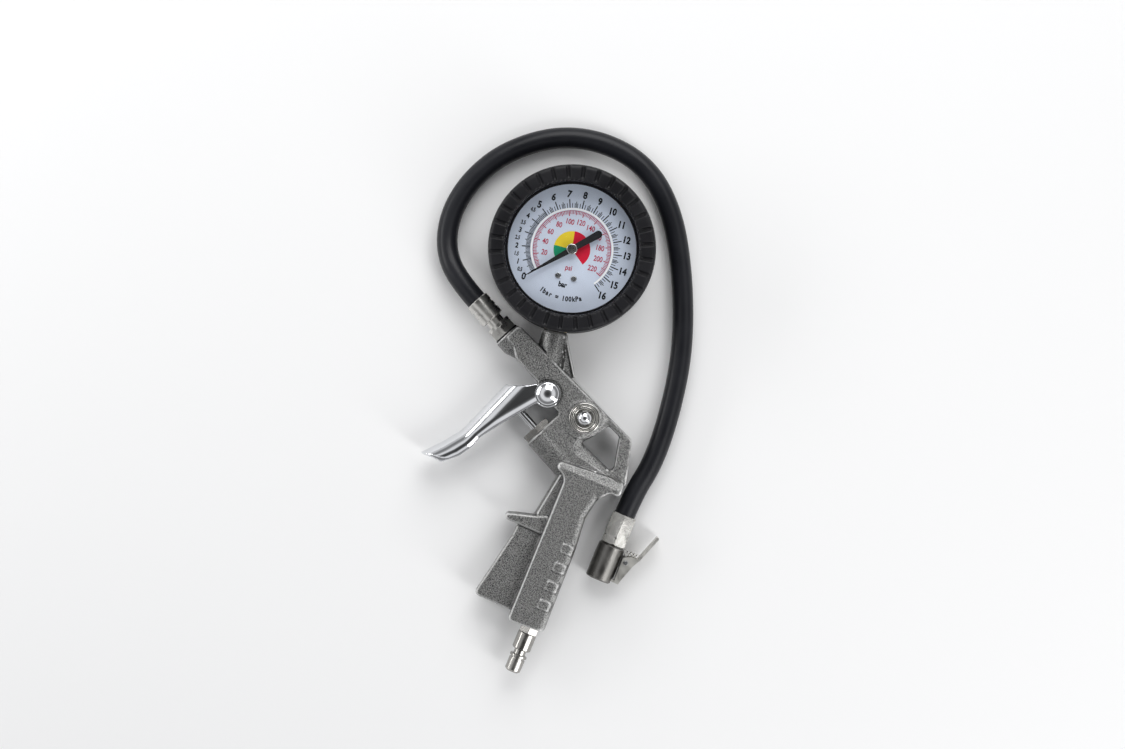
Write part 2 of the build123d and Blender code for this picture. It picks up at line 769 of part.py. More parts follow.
with BuildPart() as chuck_body:
    add(
        turned(
            chuck_plane,
            [
                (coupler_end, coupler_end + 1.2, 5.6, head_chuck_r),
                (coupler_end + 1.2, head_end - 0.6, head_chuck_r, head_chuck_r),
                (head_end - 0.6, head_end, head_chuck_r, head_chuck_r - 0.6),
            ],
        )
    )
    with BuildSketch(chuck_flat.offset(-lug_height)):
        with BuildLine():
            FilletPolyline((18.6, 4.5), (19.0, 10.9), (24.2, 10.9), (25.2, 4.5), radius=[0, 2.0, 2.0, 0],
                           close=True)
        make_face()
    extrude(amount=2 * lug_height)
    add(turned(chuck_plane, [(coupler_end - 1, 21.2, 4.0, 4.0)]), mode=Mode.SUBTRACT)
    add(turned(chuck_plane, [(21.0, 24.5, 1.5, 1.5)]), mode=Mode.SUBTRACT)
    add(turned(chuck_plane, [(24.0, seal_start, 3.2, 3.2)]), mode=Mode.SUBTRACT)
    add(turned(chuck_plane, [(seal_start, mouth_start, 5.0, 5.0)]), mode=Mode.SUBTRACT)
    add(turned(chuck_plane, [(mouth_start, 36, valve_mouth_r, valve_mouth_r)]), mode=Mode.SUBTRACT)
    with BuildSketch(chuck_flat.offset(-3.4)):
        with Locations((claw_start - 0.6, 3.0)):
            Rectangle(6, 10, align=(Align.MIN, Align.MIN))
    extrude(amount=6.8, mode=Mode.SUBTRACT)
    with BuildSketch(chuck_flat.offset(-5)):
        with Locations(lever_pin):
            Circle(1.22)
    extrude(amount=10, mode=Mode.SUBTRACT)
chuck_body.part.label = "chuck_body"
export_step(chuck_body.part, "parts/chuck_body.step")

with BuildPart() as chuck_seal:
    add(ring(chuck_plane, seal_start, mouth_start, 4.95, 2.4))
chuck_seal.part.label = "chuck_seal"
export_step(chuck_seal.part, "parts/chuck_seal.step")

with BuildPart() as core_pin:
    add(ring(chuck_plane, 24.0, 25.2, 3.15, 2.2))
    add(turned(chuck_plane, [(24.0, 25.2, 1.0, 1.0), (25.2, 30.0, 0.8, 0.8)]))
    with BuildSketch(chuck_flat.offset(-0.5)):
        with Locations((24.6, 0)):
            Rectangle(1.2, 5.4)
    extrude(amount=1.0)
core_pin.part.label = "core_pin"
export_step(core_pin.part, "parts/core_pin.step")

with BuildPart() as chuck_pin:
    with BuildSketch(chuck_flat.offset(-4.7)):
        with Locations(lever_pin):
            Circle(1.2)
    extrude(amount=9.4)
    chamfer(chuck_pin.edges().filter_by(GeomType.CIRCLE), 0.25)
chuck_pin.part.label = "chuck_pin"
export_step(chuck_pin.part, "parts/chuck_pin.step")

plate_in = 2.9
plate_out = 4.1
with BuildPart() as chuck_lever:
    for level in (-plate_out, plate_in):
        with BuildSketch(chuck_flat.offset(level)):
            with BuildLine():
                FilletPolyline(
                    (19.6, 7.2), (17.9, 11.0), (17.8, 14.6), (22.0, 12.5), (31.0, 9.5), (32.9, 9.3),
                    (32.9, 7.6), (30.5, 7.4),
                    radius=[1.5, 2.0, 0.3, 2.0, 2.0, 0.3, 0.5, 1.0], close=True,
                )
            make_face()
        extrude(amount=plate_out - plate_in)
    with BuildSketch(chuck_flat.offset(-plate_out)):
        with BuildLine() as web_line:
            Polyline((32.9, 9.3), (31.0, 9.6), (22.0, 12.6), (17.5, 14.9))
        trace(web_line.line, line_width=1.2)
    extrude(amount=2 * plate_out)
    with BuildSketch(chuck_flat.offset(-5.0)):
        with BuildLine() as blade_line:
            Polyline((18.2, 14.6), (4.6, 19.5))
        trace(blade_line.line, line_width=1.2)
        with Locations((4.6, 19.5)):
            Circle(0.6)
    extrude(amount=10)
    with BuildSketch(chuck_flat.offset(-3.0)):
        with Locations((claw_start, 4.45)):
            Rectangle(1.2, 5.4, align=(Align.MIN, Align.MIN))
    extrude(amount=6)
    with BuildSketch(chuck_flat.offset(-6)):
        with Locations(lever_pin):
            Circle(1.25)
    extrude(amount=12, mode=Mode.SUBTRACT)
chuck_lever.part.label = "chuck_lever"
export_step(chuck_lever.part, "parts/chuck_lever.step")

across = (cos(radians(handle_tilt)), sin(radians(handle_tilt)))
spring_foot = tool_plane(
    chuck_x + 17.2 * grip_dir[0] + (head_chuck_r + 0.02) * across[0],
    chuck_y + 17.2 * grip_dir[1] + (head_chuck_r + 0.02) * across[1],
    chuck_z,
    across,
)
with BuildPart() as chuck_spring:
    add(coil(spring_foot, 6.9, 1.3, 0.45, 4))
chuck_spring.part.label = "chuck_spring"
export_step(chuck_spring.part, "parts/chuck_spring.step")

# ------------------------------------------------------------------ inlet
inlet_tip = 25.0
inlet_tip_r = 4.0
with BuildPart() as inlet_nipple:
    hex_start = nipple_seat + inlet_washer_t
    add(turned(nipple_plane, [(-7.5, hex_start, nipple_port_r, nipple_port_r)]))
    add(hexagon(nipple_plane, hex_start, 4.5, inlet_af, 0.3))
    add(
        turned(
            nipple_plane,
            [
                (4.5, 5.0, 4.4, 4.7),
                (5.0, 12.9, 4.7, 4.7),
                (12.9, 13.5, 4.7, 4.1),
                (13.5, 16.0, 3.0, 3.0),
                (16.0, 16.3, 4.0, 4.3),
                (16.3, 17.2, 4.3, 4.3),
                (17.2, 17.5, 4.3, 4.0),
                (17.5, 18.2, 3.4, 3.4),
                (18.2, inlet_tip - 0.9, inlet_tip_r, inlet_tip_r),
                (inlet_tip - 0.9, inlet_tip, inlet_tip_r, inlet_tip_r - 0.9),
            ],
        )
    )
    add(turned(nipple_plane, [(-9, 30, 2.0, 2.0)]), mode=Mode.SUBTRACT)
inlet_nipple.part.label = "inlet_nipple"
export_step(inlet_nipple.part, "parts/inlet_nipple.step")

with BuildPart() as inlet_washer:
    add(ring(nipple_plane, nipple_seat, nipple_seat + inlet_washer_t, 5.4, nipple_port_r + run_gap))
inlet_washer.part.label = "inlet_washer"
export_step(inlet_washer.part, "parts/inlet_washer.step")

# ------------------------------------------------------------------ gauge: boot and case
gauge_stem_r = 5.6
case_low = boot_floor + skin_gap
case_top = 28.2
lens_z = case_top + 0.8
lens_t = 2.0
bezel_z = 26.0
bezel_top = lens_z + lens_t + 0.6
bezel_r = case_r + 0.9
groove_count = 32
groove_len = 4.2
with BuildPart() as gauge_boot:
    add(
        revolved(
            gauge_x, gauge_y,
            [
                (0, 0), (boot_r - 2.2, 0), (boot_r, 3.0), (boot_r - 1.2, 9.0),
                (boot_r - 1.6, boot_top / 2), (boot_r - 1.2, boot_top - 9.4),
                (boot_r, boot_top - 4.4), (boot_r - 0.4, boot_top), (dial_r + 1.5, boot_top),
                (dial_r + 1.1, bezel_top + skin_gap), (bezel_r + skin_gap, bezel_top + skin_gap),
                (bezel_r + skin_gap, bezel_z - 1.0), (case_r + skin_gap, bezel_z - 1.6),
                (case_r + skin_gap, boot_floor), (0, boot_floor),
            ],
            [0, 2.0, 2.0, 12.0, 20.0, 12.0, 3.0, 2.2, 0.8, 0.2, 0.2, 0.2, 0.2, 0.5, 0],
        )
    )
    with BuildSketch(gauge_plane.offset(boot_top - 1.3)):
        groove_r = (boot_r + dial_r + 1.0) / 2
        with PolarLocations(groove_r, groove_count, start_angle=360 / groove_count / 2):
            SlotCenterToCenter(groove_len, 2.0)
    extrude(amount=3, mode=Mode.SUBTRACT)
    with BuildSketch(gauge_plane.offset(boot_top - 1.9)):
        with PolarLocations(dial_r + 1.25, 96):
            Rectangle(1.0, 0.9)
    extrude(amount=3, mode=Mode.SUBTRACT)
    add(
        turned(stem_plane, [(case_r - 4, boot_r + 4, gauge_stem_r + 1.2, gauge_stem_r + 1.2)]),
        mode=Mode.SUBTRACT,
    )
gauge_boot.part.label = "gauge_boot"
export_step(gauge_boot.part, "parts/gauge_boot.step")

case_floor = case_low + case_wall
with BuildPart() as gauge_case:
    add(
        revolved(
            gauge_x, gauge_y,
            [
                (0, case_low), (case_r, case_low), (case_r, case_top), (case_r - case_wall, case_top),
                (case_r - case_wall, case_floor), (0, case_floor),
            ],
            [0, 2.2, 0.2, 0.2, 1.0, 0],
        )
    )
    add(
        turned(stem_plane, [(case_r - 9, boot_r + 4, gauge_stem_r + 0.1, gauge_stem_r + 0.1)]),
        mode=Mode.SUBTRACT,
    )
gauge_case.part.label = "gauge_case"
export_step(gauge_case.part, "parts/gauge_case.step")

with BuildPart() as bezel_ring:
    add(
        revolved(
            gauge_x, gauge_y,
            [
                (case_r + run_gap, bezel_z), (bezel_r, bezel_z), (bezel_r, bezel_top), (dial_r, bezel_top),
                (dial_r, lens_z + lens_t), (case_r + run_gap, lens_z + lens_t),
            ],
            [0.1, 0.3, 0.4, 0.25, 0.1, 0],
        )
    )
bezel_ring.part.label = "bezel_ring"
export_step(bezel_ring.part, "parts/bezel_ring.step")

with BuildPart() as lens:
    with BuildSketch(gauge_plane.offset(lens_z)):
        Circle(case_r - 0.2)
    extrude(amount=lens_t)
    chamfer(lens.edges().filter_by(GeomType.CIRCLE), 0.2)
lens.part.label = "lens"
export_step(lens.part, "parts/lens.step")

with BuildPart() as lens_gasket:
    add(ring(gauge_plane, case_top, lens_z, case_r - 0.2, case_r - case_wall - 1.0))
lens_gasket.part.label = "lens_gasket"
export_step(lens_gasket.part, "parts/lens_gasket.step")

# ------------------------------------------------------------------ gauge: dial
dial_t = 0.6
screw_places = [(14.4, -38.5), (14.4, -70.0)]
screw_spots = [(r * cos(radians(a)), r * sin(radians(a))) for r, a in screw_places]
post_low = mid_z + 4.5
with BuildPart() as dial:
    with BuildSketch(gauge_plane.offset(dial_z)):
        Circle(case_r - case_wall - 0.3)
        Circle(1.6, mode=Mode.SUBTRACT)
        with Locations(*screw_spots):
            Circle(0.95, mode=Mode.SUBTRACT)
    extrude(amount=dial_t)
dial.part.label = "dial"
export_step(dial.part, "parts/dial.step")

with BuildPart() as dial_posts:
    with BuildSketch(gauge_plane.offset(post_low)):
        with Locations(*screw_spots):
            Circle(1.9)
    extrude(amount=dial_z - post_low)
    with BuildSketch(gauge_plane.offset(dial_z - 3.0)):
        with Locations(*screw_spots):
            Circle(0.92)
    extrude(amount=5, mode=Mode.SUBTRACT)
dial_posts.part.label = "dial_posts"
export_step(dial_posts.part, "parts/dial_posts.step")

dial_top = dial_z + dial_t
with BuildPart() as dial_screws:
    with BuildSketch(gauge_plane.offset(dial_z - 2.6)):
        with Locations(*screw_spots):
            Circle(0.9)
    extrude(amount=2.6 + dial_t)
    with BuildSketch(gauge_plane.offset(dial_top)):
        with Locations(*screw_spots):
            Circle(1.5)
    extrude(amount=0.8)
    fillet(dial_screws.edges().group_by(Axis.Z)[-1], 0.35)
    with BuildSketch(gauge_plane.offset(dial_top + 0.35)):
        with Locations(*[Location((x, y, 0), 35) for x, y in screw_spots]):
            Rectangle(4, 0.4)
    extrude(amount=2, mode=Mode.SUBTRACT)
dial_screws.part.label = "dial_screws"
export_step(dial_screws.part, "parts/dial_screws.step")

# ------------------------------------------------------------------ gauge: pointer
zero_angle = -103.0
pointer_z = 24.5
pointer_t = 0.6
shaft_r = 0.75
shaft_top = pointer_z + pointer_t
pointer_plane = Plane(
    origin=(pivot_x + gauge_x, pivot_y + gauge_y, pointer_z),
    x_dir=(cos(radians(zero_angle)), sin(radians(zero_angle)), 0),
    z_dir=(0, 0, 1),
)
with BuildPart() as pointer:
    with BuildSketch(pointer_plane):
        with BuildLine():
            FilletPolyline(
                (25.8, -0.15), (25.8, 0.15), (3.5, 1.3), (-3.5, 1.5), (-16.6, 1.9), (-16.6, -1.9),
                (-3.5, -1.5), (3.5, -1.3),
                radius=[0.1, 0.1, 2.0, 2.0, 1.8, 1.8, 2.0, 2.0], close=True,
            )
        make_face()
        Circle(2.4)
        Circle(shaft_r, mode=Mode.SUBTRACT)
    extrude(amount=pointer_t)
pointer.part.label = "pointer"
export_step(pointer.part, "parts/pointer.step")

with BuildPart() as pointer_cap:
    add(turned(gauge_plane, [(shaft_top, shaft_top + 1.2, 2.7, 2.7)]))
    fillet(pointer_cap.edges().group_by(Axis.Z)[-1], 0.5)
pointer_cap.part.label = "pointer_cap"
export_step(pointer_cap.part, "parts/pointer_cap.step")

# ------------------------------------------------------------------ gauge: movement
# A sector gear on its own arbor drives the pointer's pinion ten times faster.
module = 0.25
pinion_teeth = 12
sector_ratio = 10
pinion_pitch = module * pinion_teeth / 2
sector_pitch = pinion_pitch * sector_ratio
arbor_distance = pinion_pitch + sector_pitch
arbor_angle = 220.0      # direction from the dial's centre to the sector's arbor
sector_swing = 26.63     # degrees for the full scale
tooth_w = 0.2
tail_len = 5.5
tube_r = 25.0
tip_bearing = -19.3      # the tube's tip, from the line of the two arbors
movement_plane = Plane(
    origin=(pivot_x + gauge_x, pivot_y + gauge_y, 0),
    x_dir=(cos(radians(arbor_angle)), sin(radians(arbor_angle)), 0),
    z_dir=(0, 0, 1),
)
tail_angle = -90 - sector_swing / 2
tail_at = (
    arbor_distance + tail_len * cos(radians(tail_angle)),
    tail_len * sin(radians(tail_angle)),
)
tip_at = (tube_r * cos(radians(tip_bearing)), tube_r * sin(radians(tip_bearing)))
plate_low = movement_z + 0.5
plate_high = 17.0
plate_t = 1.0
pillar_spots = [(-6.5, -3.2), (-6.5, 3.2), (21.0, -3.2), (21.0, 3.2)]
fan_z = 13.0


def tooth(root, outer):
    """The corners of one tooth that points along the sketch's x axis."""
    return [(root - 0.15, -tooth_w * 0.8), (outer, -tooth_w / 2), (outer, tooth_w / 2),
            (root - 0.15, tooth_w * 0.8)]


with BuildPart() as movement_plates:
    for level in (plate_low, plate_high):
        with BuildSketch(movement_plane.offset(level)):
            with Locations((7.25, 0)):
                RectangleRounded(30.5, 10.0, 2.0)
            with Locations((0, 0), (arbor_distance, 0)):
                Circle(shaft_r + run_gap, mode=Mode.SUBTRACT)
        extrude(amount=plate_t)
movement_plates.part.label = "movement_plates"
export_step(movement_plates.part, "parts/movement_plates.step")

with BuildPart() as movement_pillars:
    with BuildSketch(movement_plane.offset(plate_low + plate_t)):
        with Locations(*pillar_spots):
            Circle(1.3)
    extrude(amount=plate_high - plate_low - plate_t)
movement_pillars.part.label = "movement_pillars"
export_step(movement_pillars.part, "parts/movement_pillars.step")

with BuildPart() as movement_feet:
    with BuildSketch(movement_plane.offset(case_floor)):
        with Locations(*pillar_spots):
            Circle(1.6)
    extrude(amount=plate_low - case_floor)
movement_feet.part.label = "movement_feet"
export_step(movement_feet.part, "parts/movement_feet.step")

with BuildPart() as pinion_shaft:
    add(turned(movement_plane, [(movement_z, shaft_top, shaft_r, shaft_r)]))
    with BuildSketch(movement_plane.offset(fan_z - 1)):
        Circle(pinion_pitch - 0.3)
        with PolarLocations(0, pinion_teeth):
            Polygon(*tooth(pinion_pitch - 0.3, pinion_pitch + 0.22), align=None)
    extrude(amount=3)
pinion_shaft.part.label = "pinion_shaft"
export_step(pinion_shaft.part, "parts/pinion_shaft.step")

tooth_step = 360 / (pinion_teeth * sector_ratio)
fan_teeth = 17
fan_middle = 180 - sector_swing / 2
# a gap of the sector lies between two teeth of the pinion where the gears meet
fan_shift = tooth_step / 2 - (fan_middle - 180) % tooth_step
fan_start = fan_middle + fan_shift - tooth_step * (fan_teeth - 1) / 2
fan_edge = tooth_step * fan_teeth / 2
with BuildPart() as sector_gear:
    sector_plane = Plane(
        origin=movement_plane.origin + movement_plane.x_dir * arbor_distance,
        x_dir=movement_plane.x_dir,
        z_dir=(0, 0, 1),
    )
    with BuildSketch(sector_plane.offset(fan_z)):
        with BuildLine():
            middle = fan_middle + fan_shift
            CenterArc((0, 0), sector_pitch - 0.3, middle - fan_edge, 2 * fan_edge)
            PolarLine((0, 0), sector_pitch - 0.3, middle - fan_edge)
            PolarLine((0, 0), sector_pitch - 0.3, middle + fan_edge)
        make_face()
        with PolarLocations(0, fan_teeth, start_angle=fan_start, angular_range=tooth_step * (fan_teeth - 1), endpoint=True):
            Polygon(*tooth(sector_pitch - 0.3, sector_pitch + 0.2), align=None)
        Circle(2.2)
        with Locations(Location((0, 0, 0), tail_angle)):
            Rectangle(tail_len, 2.4, align=(Align.MIN, Align.CENTER))
        tail_end = (tail_len * cos(radians(tail_angle)), tail_len * sin(radians(tail_angle)))
        with Locations(tail_end):
            Circle(1.2)
            Circle(0.65, mode=Mode.SUBTRACT)
    extrude(amount=1.0)
    with BuildSketch(sector_plane.offset(movement_z)):
        Circle(shaft_r)
    extrude(amount=plate_high + plate_t - movement_z)
sector_gear.part.label = "sector_gear"
export_step(sector_gear.part, "parts/sector_gear.step")

with BuildPart() as link_rod:
    add(bar(movement_plane, 14.8, 15.6, [tail_at, tip_at], 1.8))
    with BuildSketch(movement_plane.offset(12.7)):
        with Locations(tail_at, tip_at):
            Circle(0.6)
    extrude(amount=2.2)
link_rod.part.label = "link_rod"
export_step(link_rod.part, "parts/link_rod.step")

coil_pitch = 0.6
with BuildPart() as hairspring:
    with BuildSketch(movement_plane.offset(10.2)):
        with BuildLine() as spiral:
            for half in range(9):
                CenterArc(
                    (coil_pitch / 2 * (half % 2), 0), 1.1 + coil_pitch / 2 * half, 180 * (half % 2), 180
                )
        trace(spiral.line, line_width=0.18)
    extrude(amount=0.6)
hairspring.part.label = "hairspring"
export_step(hairspring.part, "parts/hairspring.step")

# ------------------------------------------------------------------ gauge: tube and stem
tube_half = 0.8
tube_wall = 0.25
tube_low = 8.5
tube_high = 14.5
block_half = 5.5
tube_start = stem_angle + degrees(asin(block_half / (tube_r - tube_half))) + 0.1
tip_angle = arbor_angle + degrees(atan2(tip_at[1], tip_at[0]))
with BuildPart() as bourdon_tube:
    with BuildSketch(gauge_plane.offset(tube_low)):
        with BuildLine() as tube_arc:
            CenterArc((0, 0), tube_r, tube_start, tip_angle - tube_start)
        trace(tube_arc.line, line_width=2 * tube_half)
        tip_spot = (tube_r * cos(radians(tip_angle)), tube_r * sin(radians(tip_angle)))
        with Locations(tip_spot):
            Circle(1.5)
    extrude(amount=tube_high - tube_low)
    with BuildSketch(gauge_plane.offset(tube_low + tube_wall)):
        with BuildLine() as bore_arc:
            CenterArc((0, 0), tube_r, tube_start, tip_angle - tube_start - 6)
        trace(bore_arc.line, line_width=2 * (tube_half - tube_wall))
    extrude(amount=tube_high - tube_low - 2 * tube_wall, mode=Mode.SUBTRACT)
    with BuildSketch(gauge_plane.offset(12.4)):
        with Locations(tip_spot):
            Circle(0.7)
    extrude(amount=4, mode=Mode.SUBTRACT)
bourdon_tube.part.label = "bourdon_tube"
export_step(bourdon_tube.part, "parts/bourdon_tube.step")

stem_shoulder = boss_start - stem_seat_t
with BuildPart() as gauge_stem:
    block_end = case_r - 2.7
    with BuildSketch(stem_plane.offset(11.5)):
        Rectangle(2 * (post_low - mid_z), 2 * block_half)
    extrude(amount=block_end - 11.5)
    add(
        turned(
            stem_plane,
            [
                (block_end - 0.5, stem_shoulder, gauge_stem_r, gauge_stem_r),
                (stem_shoulder, stem_shank_end, port_r, port_r),
            ],
        )
    )
    add(turned(stem_plane, [(24.0, 60.0, 1.5, 1.5)]), mode=Mode.SUBTRACT)
gauge_stem.part.label = "gauge_stem"
export_step(gauge_stem.part, "parts/gauge_stem.step")

with BuildPart() as stem_seal:
    add(ring(stem_plane, stem_shoulder, boss_start, 5.7, port_r + run_gap))
stem_seal.part.label = "stem_seal"
export_step(stem_seal.part, "parts/stem_seal.step")
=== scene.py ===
# %% [markdown]
# # A tyre inflator with a gauge
# This lesson dresses a tool whose pieces were already built to size: a cast pistol body with a
# chromed trigger, a dial gauge in a rubber boot, and a rubber hose with a clip-on chuck. The solids
# arrive as a fixed frame in metres. What Blender adds is the skin: soft cast edges, plate, rubber,
# enamel, print and glass. Pieces whose shape is right keep it and only get a material. The others
# are modelled again here and stand in the solid's place.

# %% Load the frame
import json
import math

import bmesh
import bpy
from mathutils import Matrix, Vector, noise


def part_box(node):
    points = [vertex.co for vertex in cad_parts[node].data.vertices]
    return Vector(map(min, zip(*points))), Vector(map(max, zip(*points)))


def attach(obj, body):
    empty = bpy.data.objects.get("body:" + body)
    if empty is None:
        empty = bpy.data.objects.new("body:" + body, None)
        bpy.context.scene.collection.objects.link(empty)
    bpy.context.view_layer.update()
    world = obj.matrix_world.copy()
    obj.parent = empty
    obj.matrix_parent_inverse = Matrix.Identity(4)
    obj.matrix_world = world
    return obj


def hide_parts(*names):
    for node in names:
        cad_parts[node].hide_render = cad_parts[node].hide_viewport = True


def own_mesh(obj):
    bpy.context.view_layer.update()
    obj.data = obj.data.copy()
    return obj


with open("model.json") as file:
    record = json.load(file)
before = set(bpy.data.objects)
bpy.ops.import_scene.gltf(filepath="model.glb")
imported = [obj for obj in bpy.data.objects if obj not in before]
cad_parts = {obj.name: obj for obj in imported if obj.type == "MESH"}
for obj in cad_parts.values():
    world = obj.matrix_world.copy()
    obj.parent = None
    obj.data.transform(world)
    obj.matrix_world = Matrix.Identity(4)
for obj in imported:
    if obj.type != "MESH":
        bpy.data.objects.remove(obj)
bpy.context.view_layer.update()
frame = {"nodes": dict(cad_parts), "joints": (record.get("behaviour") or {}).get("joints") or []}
nodes = frame["nodes"]
MM = 0.001
print("solids loaded:", len(nodes))


# %% [markdown]
# The main places come from the frame, and the rest is measured from them. The middle of a round
# solid's box is its axis, so a few boxes give the axes that the rest hangs on: the dial's, the
# trigger pivot's and the bleed button's.

# %% Places taken from the frame
def middle(node):
    """The centre of a solid's box at rest."""
    low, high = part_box(node)
    return (Vector(low) + Vector(high)) / 2


def top(node):
    """The height of a solid's upper side."""
    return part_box(node)[1][2]


dial_centre = middle("dial").xy
pivot = middle("pivot_washer").xy
button = middle("bleed_cap").xy
body_mid = middle("gland_nut").z
print("dial at", [round(v / MM, 2) for v in dial_centre])
print("pivot at", [round(v / MM, 2) for v in pivot])

# %% [markdown]
# ## Camera and light
# The tool lies on its side and is seen from straight above, turned so that the handle points down
# and a little to the left. A long lens keeps the thick gauge from leaning. The lamps are set at the
# end of the lesson: three soft panels, and a pale sky with a dark patch overhead. The dark patch is
# what makes plate and cast metal read: flat faces mirror it, and rounded edges catch the pale sky.

# %% Camera
VIEW_TURN = math.radians(48.0)
VIEW_CENTRE = pivot + Vector((-2.2, 11.7)) * MM
VIEW_HEIGHT = 970.0 * MM
VIEW_WIDTH = 551.3 * MM
DIAL_HEIGHT = 20.0 * MM

camera_data = bpy.data.cameras.new("camera")
camera_data.sensor_width = 36.0
camera_data.lens = camera_data.sensor_width * (VIEW_HEIGHT - DIAL_HEIGHT) / VIEW_WIDTH
camera = bpy.data.objects.new("camera", camera_data)
camera.location = (VIEW_CENTRE.x, VIEW_CENTRE.y, VIEW_HEIGHT)
camera.rotation_euler = (0, 0, VIEW_TURN)
bpy.context.scene.collection.objects.link(camera)
bpy.context.scene.camera = camera
bpy.context.scene.view_settings.view_transform = "Standard"
print("lens", round(camera_data.lens, 1), "mm")

# %% [markdown]
# ## The hose
# A rubber air hose of this size is stiff: it leaves its ferrule straight, falls to the bench within
# a few diameters and swings round the gauge in one wide loop to the chuck. It is drawn as a NURBS
# curve of order three, whose control points pull the line without making it pass through them, so
# the bend stays even. A round bevel gives it its thickness.

# %% Hose
HOSE_RADIUS = 5.2 * MM
FERRULE_INSET = 2.0
FERRULE_MOUTH = -57.7
CHUCK_PLACE = Vector((70.3, -12.0, 6.8))
HANDLE_TILT = math.radians(25.5)
HANDLE_DIR = Vector((math.sin(HANDLE_TILT), -math.cos(HANDLE_TILT), 0))
hose_places = [
    (FERRULE_MOUTH + FERRULE_INSET, 4.6, 11.5),
    (-72.5, 4.6, 11.5),
    (-88.0, 10.7, 7.1),
    (-99.5, 24.5, 5.4),
    (-104.9, 43.5, 5.25),
    (-103.4, 65.5, 5.25),
    (-92.5, 89.0, 5.25),
    (-74.0, 105.0, 5.25),
    (-50.5, 112.3, 5.25),
    (-25.5, 106.5, 5.25),
    (2.0, 88.5, 5.25),
    (28.5, 64.8, 5.25),
    (47.3, 39.5, 5.3),
    (60.3, 16.5, 5.6),
    tuple(CHUCK_PLACE - 11.2 * HANDLE_DIR),
    tuple(CHUCK_PLACE + FERRULE_INSET * HANDLE_DIR),
]
hose_curve = bpy.data.curves.new("rubber_hose", "CURVE")
hose_curve.dimensions = "3D"
hose_curve.resolution_u = 24
hose_curve.bevel_depth = HOSE_RADIUS
hose_curve.bevel_resolution = 10
spline = hose_curve.splines.new("NURBS")
spline.points.add(len(hose_places) - 1)
for point, (x, y, z) in zip(spline.points, hose_places):
    point.co = (pivot.x + x * MM, pivot.y + y * MM, z * MM, 1)
spline.order_u = 3
spline.use_endpoint_u = True
rubber_hose = bpy.data.objects.new("rubber_hose", hose_curve)
bpy.context.scene.collection.objects.link(rubber_hose)


def line_length(curve_object):
    """The length of a curve's own line, measured without its thickness."""
    bare = curve_object.copy()
    bare.data = curve_object.data.copy()
    bare.data.bevel_depth = 0
    line = bpy.data.meshes.new_from_object(bare)
    places = [vertex.co.copy() for vertex in line.vertices]
    total = sum((b - a).length for a, b in zip(places, places[1:]))
    bpy.data.objects.remove(bare)
    bpy.data.meshes.remove(line)
    return total


hose_length = line_length(rubber_hose)
print("hose length", round(hose_length, 3), "m")

# %% [markdown]
# ## Node groups shared by the finishes
# Several finishes need the same effects: the speckle of a blasted casting, the fine rings that a
# lathe leaves, slow smudges in the gloss, and masks that place a painted highlight on edges and
# painted shade in corners. Each is a node group that puts out a mask or a height, so a material
# only chooses its size and strength. Coordinates are the object's own, in metres, so a scale of
# 1000 repeats about once a millimetre.

# %% Helpers for node trees
def add_node(tree, kind, inputs=None, **settings):
    """A node with its settings; an input is a number, a colour or another node's output."""
    node = tree.nodes.new(kind)
    for key, value in settings.items():
        setattr(node, key, value)
    for key, value in (inputs or {}).items():
        if isinstance(value, bpy.types.NodeSocket):
            tree.links.new(value, node.inputs[key])
        else:
            node.inputs[key].default_value = value
    return node


def math_node(tree, operation, first, second, clamp=False):
    """A Math node's result."""
    return add_node(
        tree, "ShaderNodeMath", {0: first, 1: second}, operation=operation, use_clamp=clamp
    ).outputs[0]


def stretch(tree, value, low, high, to_low=0.0, to_high=1.0):
    """Maps a range of a value onto another range, clamped."""
    return add_node(
        tree,
        "ShaderNodeMapRange",
        {"Value": value, "From Min": low, "From Max": high, "To Min": to_low, "To Max": to_high},
    ).outputs[0]


def new_group(name, inputs, outputs):
    """An empty node group with named inputs and outputs."""
    tree = bpy.data.node_groups.new(name, "ShaderNodeTree")
    for label, kind, default in inputs:
        tree.interface.new_socket(label, in_out="INPUT", socket_type=kind).default_value = default
    for label, kind in outputs:
        tree.interface.new_socket(label, in_out="OUTPUT", socket_type=kind)
    return tree, tree.nodes.new("NodeGroupInput").outputs, tree.nodes.new("NodeGroupOutput").inputs


FLOAT = "NodeSocketFloat"
VECTOR = "NodeSocketVector"


# %% Speckle of a blasted or moulded surface
def make_speckle():
    """Fine grain: a height for bump and a mask for colour."""
    tree, given, result = new_group(
        "speckle",
        [("Scale", FLOAT, 1400.0), ("Contrast", FLOAT, 1.0)],
        [("Height", FLOAT), ("Mask", FLOAT)],
    )
    place = add_node(tree, "ShaderNodeTexCoord").outputs["Object"]
    fine = add_node(
        tree,
        "ShaderNodeTexNoise",
        {"Vector": place, "Scale": given["Scale"], "Detail": 3.0, "Roughness": 0.65},
    ).outputs[0]
    pits = add_node(
        tree, "ShaderNodeTexVoronoi", {"Vector": place, "Scale": given["Scale"]}
    ).outputs["Distance"]
    both = math_node(tree, "MULTIPLY", fine, stretch(tree, pits, 0.0, 0.6, 0.6, 1.1))
    centred = math_node(tree, "SUBTRACT", both, 0.47)
    mask = math_node(tree, "MULTIPLY", centred, given["Contrast"])
    tree.links.new(both, result["Height"])
    tree.links.new(stretch(tree, mask, -0.25, 0.25), result["Mask"])
    return tree


speckle = make_speckle()
print("group", speckle.name)


